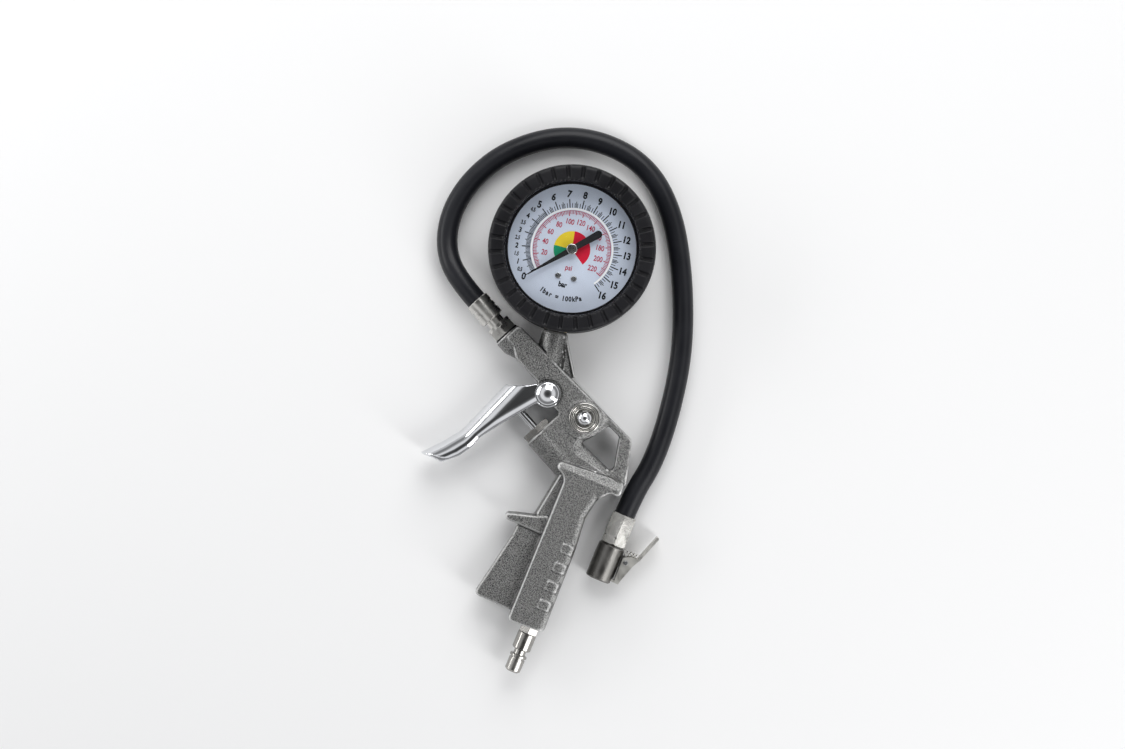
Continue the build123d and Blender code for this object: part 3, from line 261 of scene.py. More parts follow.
# %% Rings that a lathe leaves
def make_lathe_lines():
    """Fine lines across an axis, as on turned pieces."""
    tree, given, result = new_group(
        "lathe_lines",
        [("Axis", VECTOR, (0, 0, 1)), ("Spacing", FLOAT, 0.00035)],
        [("Height", FLOAT)],
    )
    place = add_node(tree, "ShaderNodeTexCoord").outputs["Object"]
    along = add_node(
        tree, "ShaderNodeVectorMath", {0: place, 1: given["Axis"]}, operation="DOT_PRODUCT"
    ).outputs["Value"]
    steps = math_node(tree, "DIVIDE", along, given["Spacing"])
    lines = add_node(
        tree,
        "ShaderNodeTexNoise",
        {"W": steps, "Scale": 1.0, "Detail": 2.0},
        noise_dimensions="1D",
    ).outputs[0]
    tree.links.new(lines, result["Height"])
    return tree


lathe_lines = make_lathe_lines()
print("group", lathe_lines.name)


# %% Slow smudges in the gloss
def make_smudges():
    """Large soft patches, for roughness that is never quite even."""
    tree, given, result = new_group(
        "smudges", [("Scale", FLOAT, 60.0)], [("Mask", FLOAT)]
    )
    place = add_node(tree, "ShaderNodeTexCoord").outputs["Object"]
    cloud = add_node(
        tree,
        "ShaderNodeTexNoise",
        {"Vector": place, "Scale": given["Scale"], "Detail": 4.0, "Distortion": 0.6},
    ).outputs[0]
    tree.links.new(stretch(tree, cloud, 0.32, 0.68), result["Mask"])
    return tree


smudges = make_smudges()
print("group", smudges.name)


# %% Painted highlight on sharp edges
def make_rubbed_edges():
    """White where a surface turns sharply, found by comparing its normal with a rounded one; it
    places a painted highlight.
    """
    tree, given, result = new_group(
        "sharp_edge_light",
        [("Width", FLOAT, 0.0006), ("Gain", FLOAT, 6.0)],
        [("Mask", FLOAT)],
    )
    rounded = add_node(tree, "ShaderNodeBevel", {"Radius": given["Width"]}, samples=4).outputs[0]
    flat = add_node(tree, "ShaderNodeNewGeometry").outputs["True Normal"]
    same = add_node(
        tree, "ShaderNodeVectorMath", {0: rounded, 1: flat}, operation="DOT_PRODUCT"
    ).outputs["Value"]
    turn = math_node(tree, "SUBTRACT", 1.0, same)
    tree.links.new(math_node(tree, "MULTIPLY", turn, given["Gain"], clamp=True), result["Mask"])
    return tree


sharp_edge_light = make_rubbed_edges()
print("group", sharp_edge_light.name)


# %% Painted highlight on edges and painted shade in corners of a dense skin
def make_worn_edges():
    """Masks of a mesh with many small faces: white on outward edges, for a painted highlight, and
    on inward corners, for painted shade.
    """
    tree, given, result = new_group(
        "edge_light_and_corner_shade",
        [("Low", FLOAT, 0.52), ("High", FLOAT, 0.58)],
        [("Edges", FLOAT), ("Corners", FLOAT)],
    )
    point = add_node(tree, "ShaderNodeNewGeometry").outputs["Pointiness"]
    tree.links.new(stretch(tree, point, given["Low"], given["High"]), result["Edges"])
    hollow = math_node(tree, "SUBTRACT", 1.0, point)
    tree.links.new(stretch(tree, hollow, given["Low"], given["High"]), result["Corners"])
    return tree


edge_light_and_corner_shade = make_worn_edges()
print("group", edge_light_and_corner_shade.name)


# %% Helpers for materials
def new_material(name):
    """An empty material with its Principled shader."""
    material = bpy.data.materials.new(name)
    material.use_nodes = True
    tree = material.node_tree
    return material, tree, tree.nodes["Principled BSDF"]


def place_group(tree, group, **values):
    """A group node whose inputs are set by name."""
    node = add_node(tree, "ShaderNodeGroup", node_tree=group)
    for key, value in values.items():
        node.inputs[key].default_value = value
    return node.outputs


def mix_colour(tree, factor, first, second):
    """A colour between two, by a factor."""
    node = add_node(tree, "ShaderNodeMix", data_type="RGBA")
    for index, value in ((0, factor), (6, first), (7, second)):
        if isinstance(value, bpy.types.NodeSocket):
            tree.links.new(value, node.inputs[index])
        elif index:
            node.inputs[index].default_value = (*value, 1)
        else:
            node.inputs[index].default_value = value
    return node.outputs[2]


def bump(tree, height, distance, strength=1.0):
    """A Bump node's normal, from a height between 0 and 1 and its real depth."""
    inputs = {"Height": height, "Distance": distance, "Strength": strength}
    return add_node(tree, "ShaderNodeBump", inputs).outputs[0]


# %% [markdown]
# ## Metals
# The body is blasted aluminium: a fine grain of dark and pale specks, with a painted highlight on
# its outward edges and painted shade in its inward corners. The fittings are nickel over turned
# brass, with lathe rings and a painted highlight on their sharp edges. The trigger and pivot head
# are polished plate, where only faint smudges break the reflection.

# %% Cast aluminium
# The colour of the painted highlight on the casting's outward edges.
EDGE_LIGHT_COLOUR = (0.86, 0.86, 0.85)


def make_cast_metal(name, dark, light, grain_depth):
    material, tree, shader = new_material(name)
    grain = place_group(tree, speckle, Scale=2000.0, Contrast=2.0)
    cloud = place_group(tree, smudges, Scale=45.0)["Mask"]
    light_and_shade_masks = place_group(tree, edge_light_and_corner_shade, Low=0.511, High=0.532)
    colour = mix_colour(tree, grain["Mask"], dark, light)
    # Painted shade: inward corners are darkened towards the dark speckle.
    corner_shade = math_node(tree, "MULTIPLY", light_and_shade_masks["Corners"], 0.6)
    colour = mix_colour(tree, corner_shade, colour, dark)
    # Painted highlight: outward edges are lightened and made less metallic, so they show as bright
    # lines; the same mask also makes them a little smoother.
    edge_light = math_node(tree, "MULTIPLY", light_and_shade_masks["Edges"], 0.65)
    colour = mix_colour(tree, edge_light, colour, EDGE_LIGHT_COLOUR)
    rough = stretch(tree, cloud, 0.0, 1.0, 0.32, 0.42)
    rough = math_node(tree, "SUBTRACT", rough, math_node(tree, "MULTIPLY", light_and_shade_masks["Edges"], 0.10))
    metal = math_node(tree, "SUBTRACT", 1.0, math_node(tree, "MULTIPLY", light_and_shade_masks["Edges"], 0.6))
    tree.links.new(metal, shader.inputs["Metallic"])
    tree.links.new(colour, shader.inputs["Base Color"])
    tree.links.new(rough, shader.inputs["Roughness"])
    tree.links.new(bump(tree, grain["Height"], grain_depth), shader.inputs["Normal"])
    return material


cast_metal = make_cast_metal("cast_metal", (0.03, 0.03, 0.034), (0.34, 0.34, 0.33), 0.00018)
print("material", cast_metal.name)


# %% Turned and plated fittings
def make_turned_metal(name, colour, roughness, axis, ring_depth=0.000005):
    material, tree, shader = new_material(name)
    rings = place_group(tree, lathe_lines, Axis=axis, Spacing=0.00022)["Height"]
    cloud = place_group(tree, smudges, Scale=160.0)["Mask"]
    edge = place_group(tree, sharp_edge_light, Width=0.00025, Gain=4.0)["Mask"]
    tint = mix_colour(tree, cloud, tuple(0.82 * c for c in colour), colour)
    # Painted highlight: sharp edges are lightened towards a pale white.
    tint = mix_colour(tree, math_node(tree, "MULTIPLY", edge, 0.4), tint, (0.95, 0.94, 0.92))
    shader.inputs["Metallic"].default_value = 1.0
    tree.links.new(tint, shader.inputs["Base Color"])
    rough = stretch(tree, cloud, 0.0, 1.0, roughness * 0.8, roughness * 1.3)
    tree.links.new(rough, shader.inputs["Roughness"])
    tree.links.new(bump(tree, rings, ring_depth), shader.inputs["Normal"])
    return material


NICKEL = (0.66, 0.65, 0.62)
STEEL = (0.60, 0.61, 0.62)
BRASS = (0.72, 0.54, 0.26)
ALONG_BARREL = (1, 0, 0)
ALONG_HANDLE = tuple(HANDLE_DIR)
UPRIGHT = (0, 0, 1)
nickel_barrel = make_turned_metal("nickel_barrel", NICKEL, 0.28, ALONG_BARREL)
nickel_handle = make_turned_metal("nickel_handle", NICKEL, 0.20, ALONG_HANDLE)
nickel_upright = make_turned_metal("nickel_upright", NICKEL, 0.16, UPRIGHT)
plain_steel = make_turned_metal("plain_steel", STEEL, 0.24, UPRIGHT)
steel_rod = make_turned_metal("steel_rod", STEEL, 0.16, ALONG_BARREL)
turned_brass = make_turned_metal("turned_brass", BRASS, 0.28, UPRIGHT)
ACROSS_HANDLE = (HANDLE_DIR.y, -HANDLE_DIR.x, 0.0)
chuck_steel = make_turned_metal("chuck_steel", (0.20, 0.195, 0.185), 0.34, ACROSS_HANDLE, 0.00002)
lever_steel = make_turned_metal("lever_steel", (0.66, 0.65, 0.61), 0.40, ACROSS_HANDLE, 0.00001)
dark_nickel = make_turned_metal("dark_nickel", (0.40, 0.39, 0.37), 0.24, ALONG_HANDLE)
print("turned finishes: 9")


# %% Polished plate
def make_plate(name, colour, roughness):
    material, tree, shader = new_material(name)
    cloud = place_group(tree, smudges, Scale=70.0)["Mask"]
    fine = place_group(tree, speckle, Scale=500.0, Contrast=1.0)["Height"]
    shader.inputs["Metallic"].default_value = 1.0
    tree.links.new(
        mix_colour(tree, cloud, tuple(0.9 * c for c in colour), colour), shader.inputs["Base Color"]
    )
    tree.links.new(
        stretch(tree, cloud, 0.0, 1.0, roughness, roughness * 2.2), shader.inputs["Roughness"]
    )
    tree.links.new(bump(tree, fine, 0.00001, 0.6), shader.inputs["Normal"])
    return material


polished_plate = make_plate("polished_plate", (0.80, 0.81, 0.83), 0.06)
print("material", polished_plate.name)

# %% [markdown]
# ## Rubber, enamel, print and glass
# Moulded rubber is nearly black and takes a wide soft highlight; tiny pits keep it from looking
# like paint. The dial is a printed sheet: a cool white enamel, and inks that lie on it as thin
# films, so they are pieces of their own. The lens is clear plastic.

# %% Rubber
def make_rubber(name, colour, roughness, scale, depth):
    material, tree, shader = new_material(name)
    grain = place_group(tree, speckle, Scale=scale, Contrast=0.8)
    cloud = place_group(tree, smudges, Scale=35.0)["Mask"]
    dusty = tuple(min(1.0, c * 1.9 + 0.004) for c in colour)
    tint = mix_colour(tree, math_node(tree, "MULTIPLY", cloud, 0.5), colour, dusty)
    tree.links.new(tint, shader.inputs["Base Color"])
    rough = stretch(tree, cloud, 0.0, 1.0, roughness - 0.06, roughness + 0.08)
    tree.links.new(rough, shader.inputs["Roughness"])
    tree.links.new(bump(tree, grain["Height"], depth), shader.inputs["Normal"])
    shader.inputs["Specular IOR Level"].default_value = 0.28
    return material


boot_rubber = make_rubber("boot_rubber", (0.005, 0.005, 0.0065), 0.40, 1500.0, 0.00005)
hose_rubber = make_rubber("hose_rubber", (0.007, 0.0075, 0.010), 0.34, 900.0, 0.00003)
seal_rubber = make_rubber("seal_rubber", (0.012, 0.012, 0.012), 0.5, 1500.0, 0.00003)
print("rubbers: 3")


# %% Enamel and inks
def make_enamel(name, colour, roughness, mottle=0.06, skin=0.000006):
    material, tree, shader = new_material(name)
    grain = place_group(tree, speckle, Scale=900.0, Contrast=1.0)
    cloud = place_group(tree, smudges, Scale=90.0)["Mask"]
    shade = tuple(c * (1.0 - mottle) for c in colour)
    tree.links.new(mix_colour(tree, cloud, shade, colour), shader.inputs["Base Color"])
    rough = stretch(tree, grain["Mask"], 0.0, 1.0, roughness - 0.05, roughness + 0.05)
    tree.links.new(rough, shader.inputs["Roughness"])
    tree.links.new(bump(tree, grain["Height"], skin), shader.inputs["Normal"])
    shader.inputs["Specular IOR Level"].default_value = 0.25
    return material


dial_enamel = make_enamel("dial_enamel", (0.60, 0.66, 0.77), 0.45)
ring_ink = make_enamel("ring_ink", (0.90, 0.91, 0.92), 0.5)
black_ink = make_enamel("black_ink", (0.006, 0.007, 0.012), 0.6)
red_ink = make_enamel("red_ink", (0.40, 0.012, 0.05), 0.6)
red_zone = make_enamel("red_zone", (0.62, 0.004, 0.032), 0.5)
yellow_zone = make_enamel("yellow_zone", (0.80, 0.60, 0.03), 0.5)
green_zone = make_enamel("green_zone", (0.004, 0.27, 0.13), 0.5)
black_enamel = make_enamel("black_enamel", (0.008, 0.008, 0.010), 0.25)
pointer_black = make_enamel("pointer_black", (0.004, 0.004, 0.005), 0.55)
print("enamels and inks: 9")


# %% Clear lens
def make_clear_plastic(name):
    material, tree, shader = new_material(name)
    fine = place_group(tree, smudges, Scale=120.0)["Mask"]
    shader.inputs["Base Color"].default_value = (0.98, 0.99, 1.0, 1)
    shader.inputs["Transmission Weight"].default_value = 1.0
    shader.inputs["IOR"].default_value = 1.3
    shader.inputs["Specular IOR Level"].default_value = 0.2
    tree.links.new(stretch(tree, fine, 0.0, 1.0, 0.0, 0.02), shader.inputs["Roughness"])
    shadow = add_node(tree, "ShaderNodeLightPath").outputs["Is Shadow Ray"]
    diffuse = add_node(tree, "ShaderNodeLightPath").outputs["Is Diffuse Ray"]
    passed = math_node(tree, "MAXIMUM", shadow, diffuse)
    clear = add_node(tree, "ShaderNodeBsdfTransparent")
    blend = add_node(
        tree, "ShaderNodeMixShader", {0: passed, 1: shader.outputs[0], 2: clear.outputs[0]}
    )
    tree.links.new(blend.outputs[0], tree.nodes["Material Output"].inputs["Surface"])
    return material


clear_plastic = make_clear_plastic("clear_plastic")
print("material", clear_plastic.name)

# %% [markdown]
# ## The casting
# The body is die cast: its corners are soft, its walls flow into each other, a thin seam runs round
# the outside where the two halves of the die met, and the blasted skin is really rough. The solid
# has crisp joints between plain plates. Bevels would round its edges but not blend its walls, so a
# copy is rebuilt as one dense skin with a voxel remesh, a few smoothing passes round the corners,
# and vertex moves do the sculpting: they can follow a formula, and leave flat faces flat.

# %% Helpers for reworked pieces
def loose_copy(node, name):
    """A copy of a solid's mesh as an object of its own."""
    piece = bpy.data.objects.new(name, nodes[node].data.copy())
    bpy.context.scene.collection.objects.link(piece)
    return piece


def apply_modifiers(piece):
    """Gives a piece the mesh that its modifiers make."""
    graph = bpy.context.evaluated_depsgraph_get()
    made = bpy.data.meshes.new_from_object(piece.evaluated_get(graph))
    piece.modifiers.clear()
    piece.data = made


def dense_skin(piece, voxel, passes):
    """Rebuilds a piece as one even skin with softened edges."""
    remesh = piece.modifiers.new("skin", "REMESH")
    remesh.mode = "VOXEL"
    remesh.voxel_size = voxel
    remesh.use_smooth_shade = True
    soften = piece.modifiers.new("soften", "SMOOTH")
    soften.factor = 0.5
    soften.iterations = passes
    apply_modifiers(piece)


def place_piece(piece, material, body, slot, *stands_for):
    """Gives a new piece its finish, its body and the solids that it stands for."""
    piece.data.materials.clear()
    piece.data.materials.append(material)
    if stands_for:
        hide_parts(*stands_for)
    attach(piece, body)


def across_line(place, start, end):
    """How far a place lies to the right of a line seen from above, and how far along it."""
    run = end - start
    offset = place - start
    along = offset.dot(run) / run.length_squared
    return (offset.x * run.y - offset.y * run.x) / run.length, along


def line_distance(place, corners):
    """How far a place lies from a line of several runs, seen from above."""
    nearest = math.inf
    for start, end in zip(corners, corners[1:]):
        run = end - start
        offset = place - start
        along = min(max(offset.dot(run) / run.length_squared, 0.0), 1.0)
        nearest = min(nearest, (offset - along * run).length)
    return nearest


STILL_SHARE = 0.25


def pulled_in(rise, drop, half):
    """Brings a height nearer the middle plane: by the whole drop at the face, by less below it."""
    share = max(0.0, abs(rise) / half - STILL_SHARE) / (1.0 - STILL_SHARE)
    return rise - math.copysign(drop * share, rise)


# %% Casting: skin, bevel under the window, rounded back, seam and grain
CAST_VOXEL = 0.42 * MM
casting = loose_copy("gun_body", "casting")
dense_skin(casting, CAST_VOXEL, passes=2)

WINDOW_SILL = [pivot + Vector(v) * MM for v in ((26.0, -4.3), (58.0, -1.6))]
SILL_WIDTH = 6.5 * MM
SILL_DROP = 2.2 * MM
SILL_TAPER = 0.75
SILL_FADE = 6.0
BARREL_HALF = 7.6 * MM
GRIP_BACK = [
    pivot + Vector(v) * MM
    for v in ((54.9, -16.5), (57.6, -27.0), (66.0, -41.1), (85.6, -79.9))
]
GRIP_HALF = 11.0 * MM
BACK_ROUND = 3.4 * MM
BACK_SHARE = 0.9
SEAM_HALF = 0.45 * MM
SEAM_RISE = 0.14 * MM
GRAIN_RISE = 0.02 * MM
GRAIN_SIZE = 0.75 * MM


def smooth_step(value):
    """Eases a value between 0 and 1."""
    value = min(max(value, 0.0), 1.0)
    return value * value * (3.0 - 2.0 * value)


def sill_drop(place):
    """How much the face is lowered beside the window's lower edge."""
    across, along = across_line(place, *WINDOW_SILL)
    if not 0.0 < along < 1.0 or across > SILL_WIDTH:
        return 0.0
    width = SILL_WIDTH * (1.0 - SILL_TAPER * along)
    fade = smooth_step(min(along, 1.0 - along) * SILL_FADE)
    return SILL_DROP * fade * min(1.0, max(0.0, 1.0 - max(across, 0.0) / width))


def back_drop(place):
    """How much the grip's face is lowered towards its rounded back."""
    inward = BACK_ROUND - min(line_distance(place, GRIP_BACK), BACK_ROUND)
    return BACK_SHARE * (BACK_ROUND - math.sqrt(BACK_ROUND ** 2 - inward ** 2))


outward_at = [vertex.normal.copy() for vertex in casting.data.vertices]
for vertex, outward in zip(casting.data.vertices, outward_at):
    place = vertex.co.xy
    rise = vertex.co.z - body_mid
    rise = pulled_in(rise, sill_drop(place), BARREL_HALF)
    rise = pulled_in(rise, back_drop(place), GRIP_HALF)
    vertex.co.z = body_mid + rise
    seam = SEAM_RISE * max(0.0, 1.0 - abs(rise) / SEAM_HALF) * (1.0 - abs(outward.z))
    grain = GRAIN_RISE * noise.noise(vertex.co / GRAIN_SIZE)
    vertex.co += outward * (seam + grain)
place_piece(casting, cast_metal, "tool", "cast_body", "gun_body")
print("casting vertices:", len(casting.data.vertices))

# %% [markdown]
# ## The rubber boot
# The boot is one moulding that is stretched over the gauge. Its wall is waisted, thirty-two wide
# grooves cross its upper rim, and a finer serration runs round its lip. It is turned from a half
# section in code, with enough steps round to carry the grooves as real hollows: a bump texture
# would leave the rim's outline smooth.

# %% Boot
def turned_piece(name, centre, profile, steps, height_at=None):
    """A closed body about a vertical axis, from a half section of radii and heights."""
    mesh = bpy.data.meshes.new(name)
    places = []
    for step in range(steps):
        angle = 2 * math.pi * step / steps
        for radius, height in profile:
            if height_at:
                height = height_at(angle, radius, height)
            x = centre.x + radius * math.cos(angle)
            y = centre.y + radius * math.sin(angle)
            places.append((x, y, height))
    count = len(profile)
    faces = []
    for step in range(steps):
        near = step * count
        far = (step + 1) % steps * count
        for row in range(count - 1):
            faces.append((near + row, far + row, far + row + 1, near + row + 1))
    mesh.from_pydata(places, [], faces)
    work = bmesh.new()
    work.from_mesh(mesh)
    bmesh.ops.remove_doubles(work, verts=work.verts, dist=0.000002)
    bmesh.ops.recalc_face_normals(work, faces=work.faces)
    work.to_mesh(mesh)
    work.free()
    mesh.shade_smooth()
    piece = bpy.data.objects.new(name, mesh)
    bpy.context.scene.collection.objects.link(piece)
    return piece


def rounded(corners, bends, steps=6):
    """A half section whose corners are rounded, each by its own radius, in millimetres."""
    places = []
    for index, (corner, bend) in enumerate(zip(corners, bends)):
        here = Vector(corner)
        if not bend or index in (0, len(corners) - 1):
            places.append(here)
            continue
        back = Vector(corners[index - 1]) - here
        on = Vector(corners[index + 1]) - here
        half_turn = back.angle(on) / 2
        reach = min(bend / math.tan(half_turn), 0.49 * back.length, 0.49 * on.length)
        start = here + back.normalized() * reach
        end = here + on.normalized() * reach
        for step in range(steps + 1):
            t = step / steps
            places.append((1 - t) ** 2 * start + 2 * t * (1 - t) * here + t ** 2 * end)
    return places


def refined(places, longest):
    """The same half section with long runs divided."""
    result = [places[0]]
    for here, there in zip(places, places[1:]):
        pieces = max(1, math.ceil((there - here).length / longest))
        result += [here.lerp(there, (step + 1) / pieces) for step in range(pieces)]
    return result


BOOT_RADIUS = (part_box("gauge_boot")[1][0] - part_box("gauge_boot")[0][0]) / 2 / MM
BOOT_TOP = top("gauge_boot") / MM
BOOT_FLOOR = 2.6
RIM_INNER = 32.6
CAVITY = 34.4
BEZEL_CAVITY = 35.3
LIP_UNDER = 31.8
GROOVES = 32
GROOVE_DEPTH = 1.3 * MM
GROOVE_HALF = 1.15 * MM
GROOVE_FLAT = 0.55 * MM
SERRATIONS = 96
SERRATION_DEPTH = 0.45 * MM
boot_corners = [
    (0.0, BOOT_FLOOR), (0.0, 0.0), (BOOT_RADIUS - 2.2, 0.0), (BOOT_RADIUS, 3.0),
    (BOOT_RADIUS - 1.2, 9.0), (BOOT_RADIUS - 1.6, BOOT_TOP / 2),
    (BOOT_RADIUS - 1.2, BOOT_TOP - 9.4), (BOOT_RADIUS, BOOT_TOP - 4.4),
    (BOOT_RADIUS - 0.4, BOOT_TOP), (RIM_INNER, BOOT_TOP), (RIM_INNER - 0.4, LIP_UNDER),
    (BEZEL_CAVITY, LIP_UNDER), (BEZEL_CAVITY, 25.0), (CAVITY, 24.4), (CAVITY, BOOT_FLOOR),
    (0.0, BOOT_FLOOR),
]
boot_bends = [0, 0, 2.0, 2.0, 10.0, 12.0, 10.0, 3.0, 2.4, 0.9, 0.3, 0.2, 0.2, 0.2, 0.8, 0]
boot_profile = [v * MM for v in refined(rounded(boot_corners, boot_bends), 0.9)]


def boot_height(angle, radius, height):
    """Sinks the grooves and the lip's serration into the boot's upper rim."""
    if height < (BOOT_TOP - 5.0) * MM or radius < (RIM_INNER - 0.2) * MM:
        return height
    pitch = 2 * math.pi / GROOVES
    off_centre = abs((angle / pitch) % 1.0 - 0.5) * pitch * radius
    across = 1.0 - smooth_step((off_centre - GROOVE_FLAT) / (GROOVE_HALF - GROOVE_FLAT))
    mid = (BOOT_RADIUS + RIM_INNER - 0.5) / 2 * MM
    along = 1.0 - smooth_step((abs(radius - mid) - 2.5 * MM) / (0.9 * MM))
    sink = GROOVE_DEPTH * across * along
    lip = 1.0 - smooth_step((radius - (RIM_INNER + 0.2) * MM) / (0.7 * MM))
    fine = 0.5 + 0.5 * math.cos(SERRATIONS * angle)
    return height - sink - SERRATION_DEPTH * lip * fine


rubber_boot = turned_piece("rubber_boot", dial_centre, boot_profile, 768, boot_height)
place_piece(rubber_boot, boot_rubber, "tool", "boot_rubber", "gauge_boot")
print("boot faces:", len(rubber_boot.data.polygons))

# %% [markdown]
# ## Trigger, pivot head and bleed valve
# The trigger is pressed from thick sheet and chromed: its rims are drawn over, so that light runs
# along them. The copy gets a dense skin again, and the strip beside its rear rim is bent inwards by
# a formula. The pivot's head, the bleed valve's cap and its button are turned about an upright
# axis, with the domes and steps that make a polished piece sparkle.

# %% Trigger
TRIGGER_REAR = [
    pivot + Vector(v) * MM
    for v in (
        (0.0, -6.5), (-2.7, -19.0), (-4.7, -29.0), (-6.4, -39.5), (-5.7, -46.5), (-6.6, -53.0),
        (-11.4, -65.0),
    )
]
TRIGGER_VOXEL = 0.36 * MM
TRIGGER_HALF = 9.2 * MM
ROLL_WIDTH = 4.4 * MM
ROLL_DROP = 1.55 * MM


def rear_roll(place):
    """How far a place beside the trigger's rear rim is bent inwards."""
    nearest = min(line_distance(place, TRIGGER_REAR), ROLL_WIDTH)
    return ROLL_DROP * (1.0 - nearest / ROLL_WIDTH) ** 2


trigger_skin = loose_copy("trigger_lever", "trigger_skin")
dense_skin(trigger_skin, TRIGGER_VOXEL, passes=5)
for vertex in trigger_skin.data.vertices:
    rise = vertex.co.z - body_mid
    vertex.co.z = body_mid + pulled_in(rise, rear_roll(vertex.co.xy), TRIGGER_HALF)
place_piece(trigger_skin, polished_plate, "trigger", "lever_chrome", "trigger_lever")
print("trigger vertices:", len(trigger_skin.data.vertices))


# %% Pivot head, bleed cap and button
def dome(radius, foot, crown, steps=14):
    """The rounded top of a turned piece, from its rim to its centre."""
    rise = crown - foot
    ball = (radius ** 2 + rise ** 2) / (2 * rise)
    widest = math.asin(radius / ball)
    return [
        Vector((ball * math.sin(angle), crown - ball * (1 - math.cos(angle))))
        for angle in (widest * (1 - step / steps) for step in range(steps + 1))
    ]


WASHER_TOP = top("pivot_washer") / MM
HEAD_TOP = top("pivot_pin") / MM
PIN_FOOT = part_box("pivot_pin")[0][2] / MM
pin_profile = rounded(
    [
        (0.0, PIN_FOOT), (2.5, PIN_FOOT), (2.5, PIN_FOOT + 0.7), (2.0, PIN_FOOT + 0.7),
        (2.0, PIN_FOOT + 1.4), (2.5, PIN_FOOT + 1.4), (2.5, WASHER_TOP), (5.6, WASHER_TOP),
        (5.6, WASHER_TOP + 0.8), (5.3, WASHER_TOP + 1.0),
    ],
    [0, 0.3, 0, 0, 0, 0, 0, 0.2, 0.3, 0],
) + dome(5.25, WASHER_TOP + 1.0, HEAD_TOP)
pivot_rivet = turned_piece("pivot_rivet", pivot, [v * MM for v in pin_profile], 96)
place_piece(pivot_rivet, polished_plate, "tool", "pivot_steel", "pivot_pin")

CAP_TOP = top("bleed_cap") / MM
CAP_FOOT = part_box("bleed_cap")[0][2] / MM
BOSS_TOP = CAP_TOP - 1.8
cap_profile = refined(
    rounded(
        [
            (1.65, CAP_FOOT), (4.95, CAP_FOOT), (4.95, BOSS_TOP), (7.6, BOSS_TOP), (7.6, CAP_TOP),
            (6.5, CAP_TOP), (6.1, CAP_TOP - 0.7), (5.7, CAP_TOP - 0.1), (4.7, CAP_TOP - 0.1),
            (4.2, CAP_TOP - 1.6), (1.65, CAP_TOP - 1.6), (1.65, CAP_FOOT),
        ],
        [0, 0.2, 0, 0.3, 0.9, 0.5, 0.3, 0.4, 0.7, 0.5, 0, 0],
    ),
    1.0,
)
button_cap = turned_piece("button_cap", button, [v * MM for v in cap_profile], 128)
place_piece(button_cap, nickel_upright, "tool", "button_steel", "bleed_cap")

BUTTON_TOP = top("bleed_button") / MM
BUTTON_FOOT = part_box("bleed_button")[0][2] / MM
BUTTON_RISE = 2.4
button_profile = [
    Vector(v)
    for v in (
        (0.0, BUTTON_FOOT), (1.6, BUTTON_FOOT), (1.6, BUTTON_TOP - BUTTON_RISE),
        (3.3, BUTTON_TOP - BUTTON_RISE), (3.4, BUTTON_TOP - BUTTON_RISE + 0.1),
        (3.4, BUTTON_TOP - BUTTON_RISE + 0.5),
    )
] + dome(3.35, BUTTON_TOP - BUTTON_RISE + 0.55, BUTTON_TOP)
domed_button = turned_piece("domed_button", button, [v * MM for v in button_profile], 96)
place_piece(domed_button, polished_plate, "bleed_valve", "button_steel", "bleed_button")
print("turned pieces: 3")

# %% [markdown]
# ## Springs
# A coil spring shortens when its joint moves. The three that can be pressed are copies with a
# mesh of their own, and the share of their length that the joint's travel leaves is printed.

# %% Copies of the springs that can be pressed
LEVER_SPRING_REACH = 6.9 * MM
LEVER_TRAVEL = 3.4 * MM


def pressed_coil(node, name, finish, slot, length, travel):
    """A spring's copy with its own mesh, finish and body; prints the share of its length that a
    joint's travel leaves.
    """
    coil = loose_copy(node, name)
    place_piece(coil, finish, "tool", slot, node)
    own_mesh(coil)
    print(name, "keeps", round(1.0 - travel / length, 2), "of", round(length / MM, 1), "mm")
    return coil


def farthest(joint):
    """A joint's longest travel."""
    found = [row for row in frame["joints"] if row["name"] == joint][0]
    return max(abs(value) for value in found["range_m"])


low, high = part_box("valve_spring")
pressed_coil(
    "valve_spring", "valve_coil", plain_steel, "plain_steel",
    high[0] - low[0], farthest("valve_push"),
)
low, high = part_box("bleed_spring")
pressed_coil(
    "bleed_spring", "bleed_coil", plain_steel, "plain_steel",
    high[2] - low[2], farthest("bleed_press"),
)
lever_coil = pressed_coil(
    "chuck_spring", "lever_coil", lever_steel, "steel_bright",
    LEVER_SPRING_REACH, LEVER_TRAVEL,
)

# %% [markdown]
# ## The dial's print
# The scale is printed in six inks on the enamelled sheet. Each ink is one flat film, a few
# hundredths of a millimetre above it, made of ticks, arcs, sectors and figures in code. The scales
# are worked out from their zero and their pitch, so that every figure sits at its own tick.

# %% Print: flat shapes in dial coordinates
DIAL_TOP = top("dial")
SCALE_ZERO = -103.0
BAR_PITCH = 16.64
BAR_PER_PSI = 0.0689476
PSI_PITCH = BAR_PITCH * BAR_PER_PSI
FIGURES_UP = 124.0
BAR_END = 16
PSI_END = 220
BAR_FOOT = 20.4
PSI_RIM = 19.0


def around(radius, degrees):
    """A place on the dial, in millimetres from its centre."""
    angle = math.radians(degrees)
    return Vector((radius * math.cos(angle), radius * math.sin(angle)))


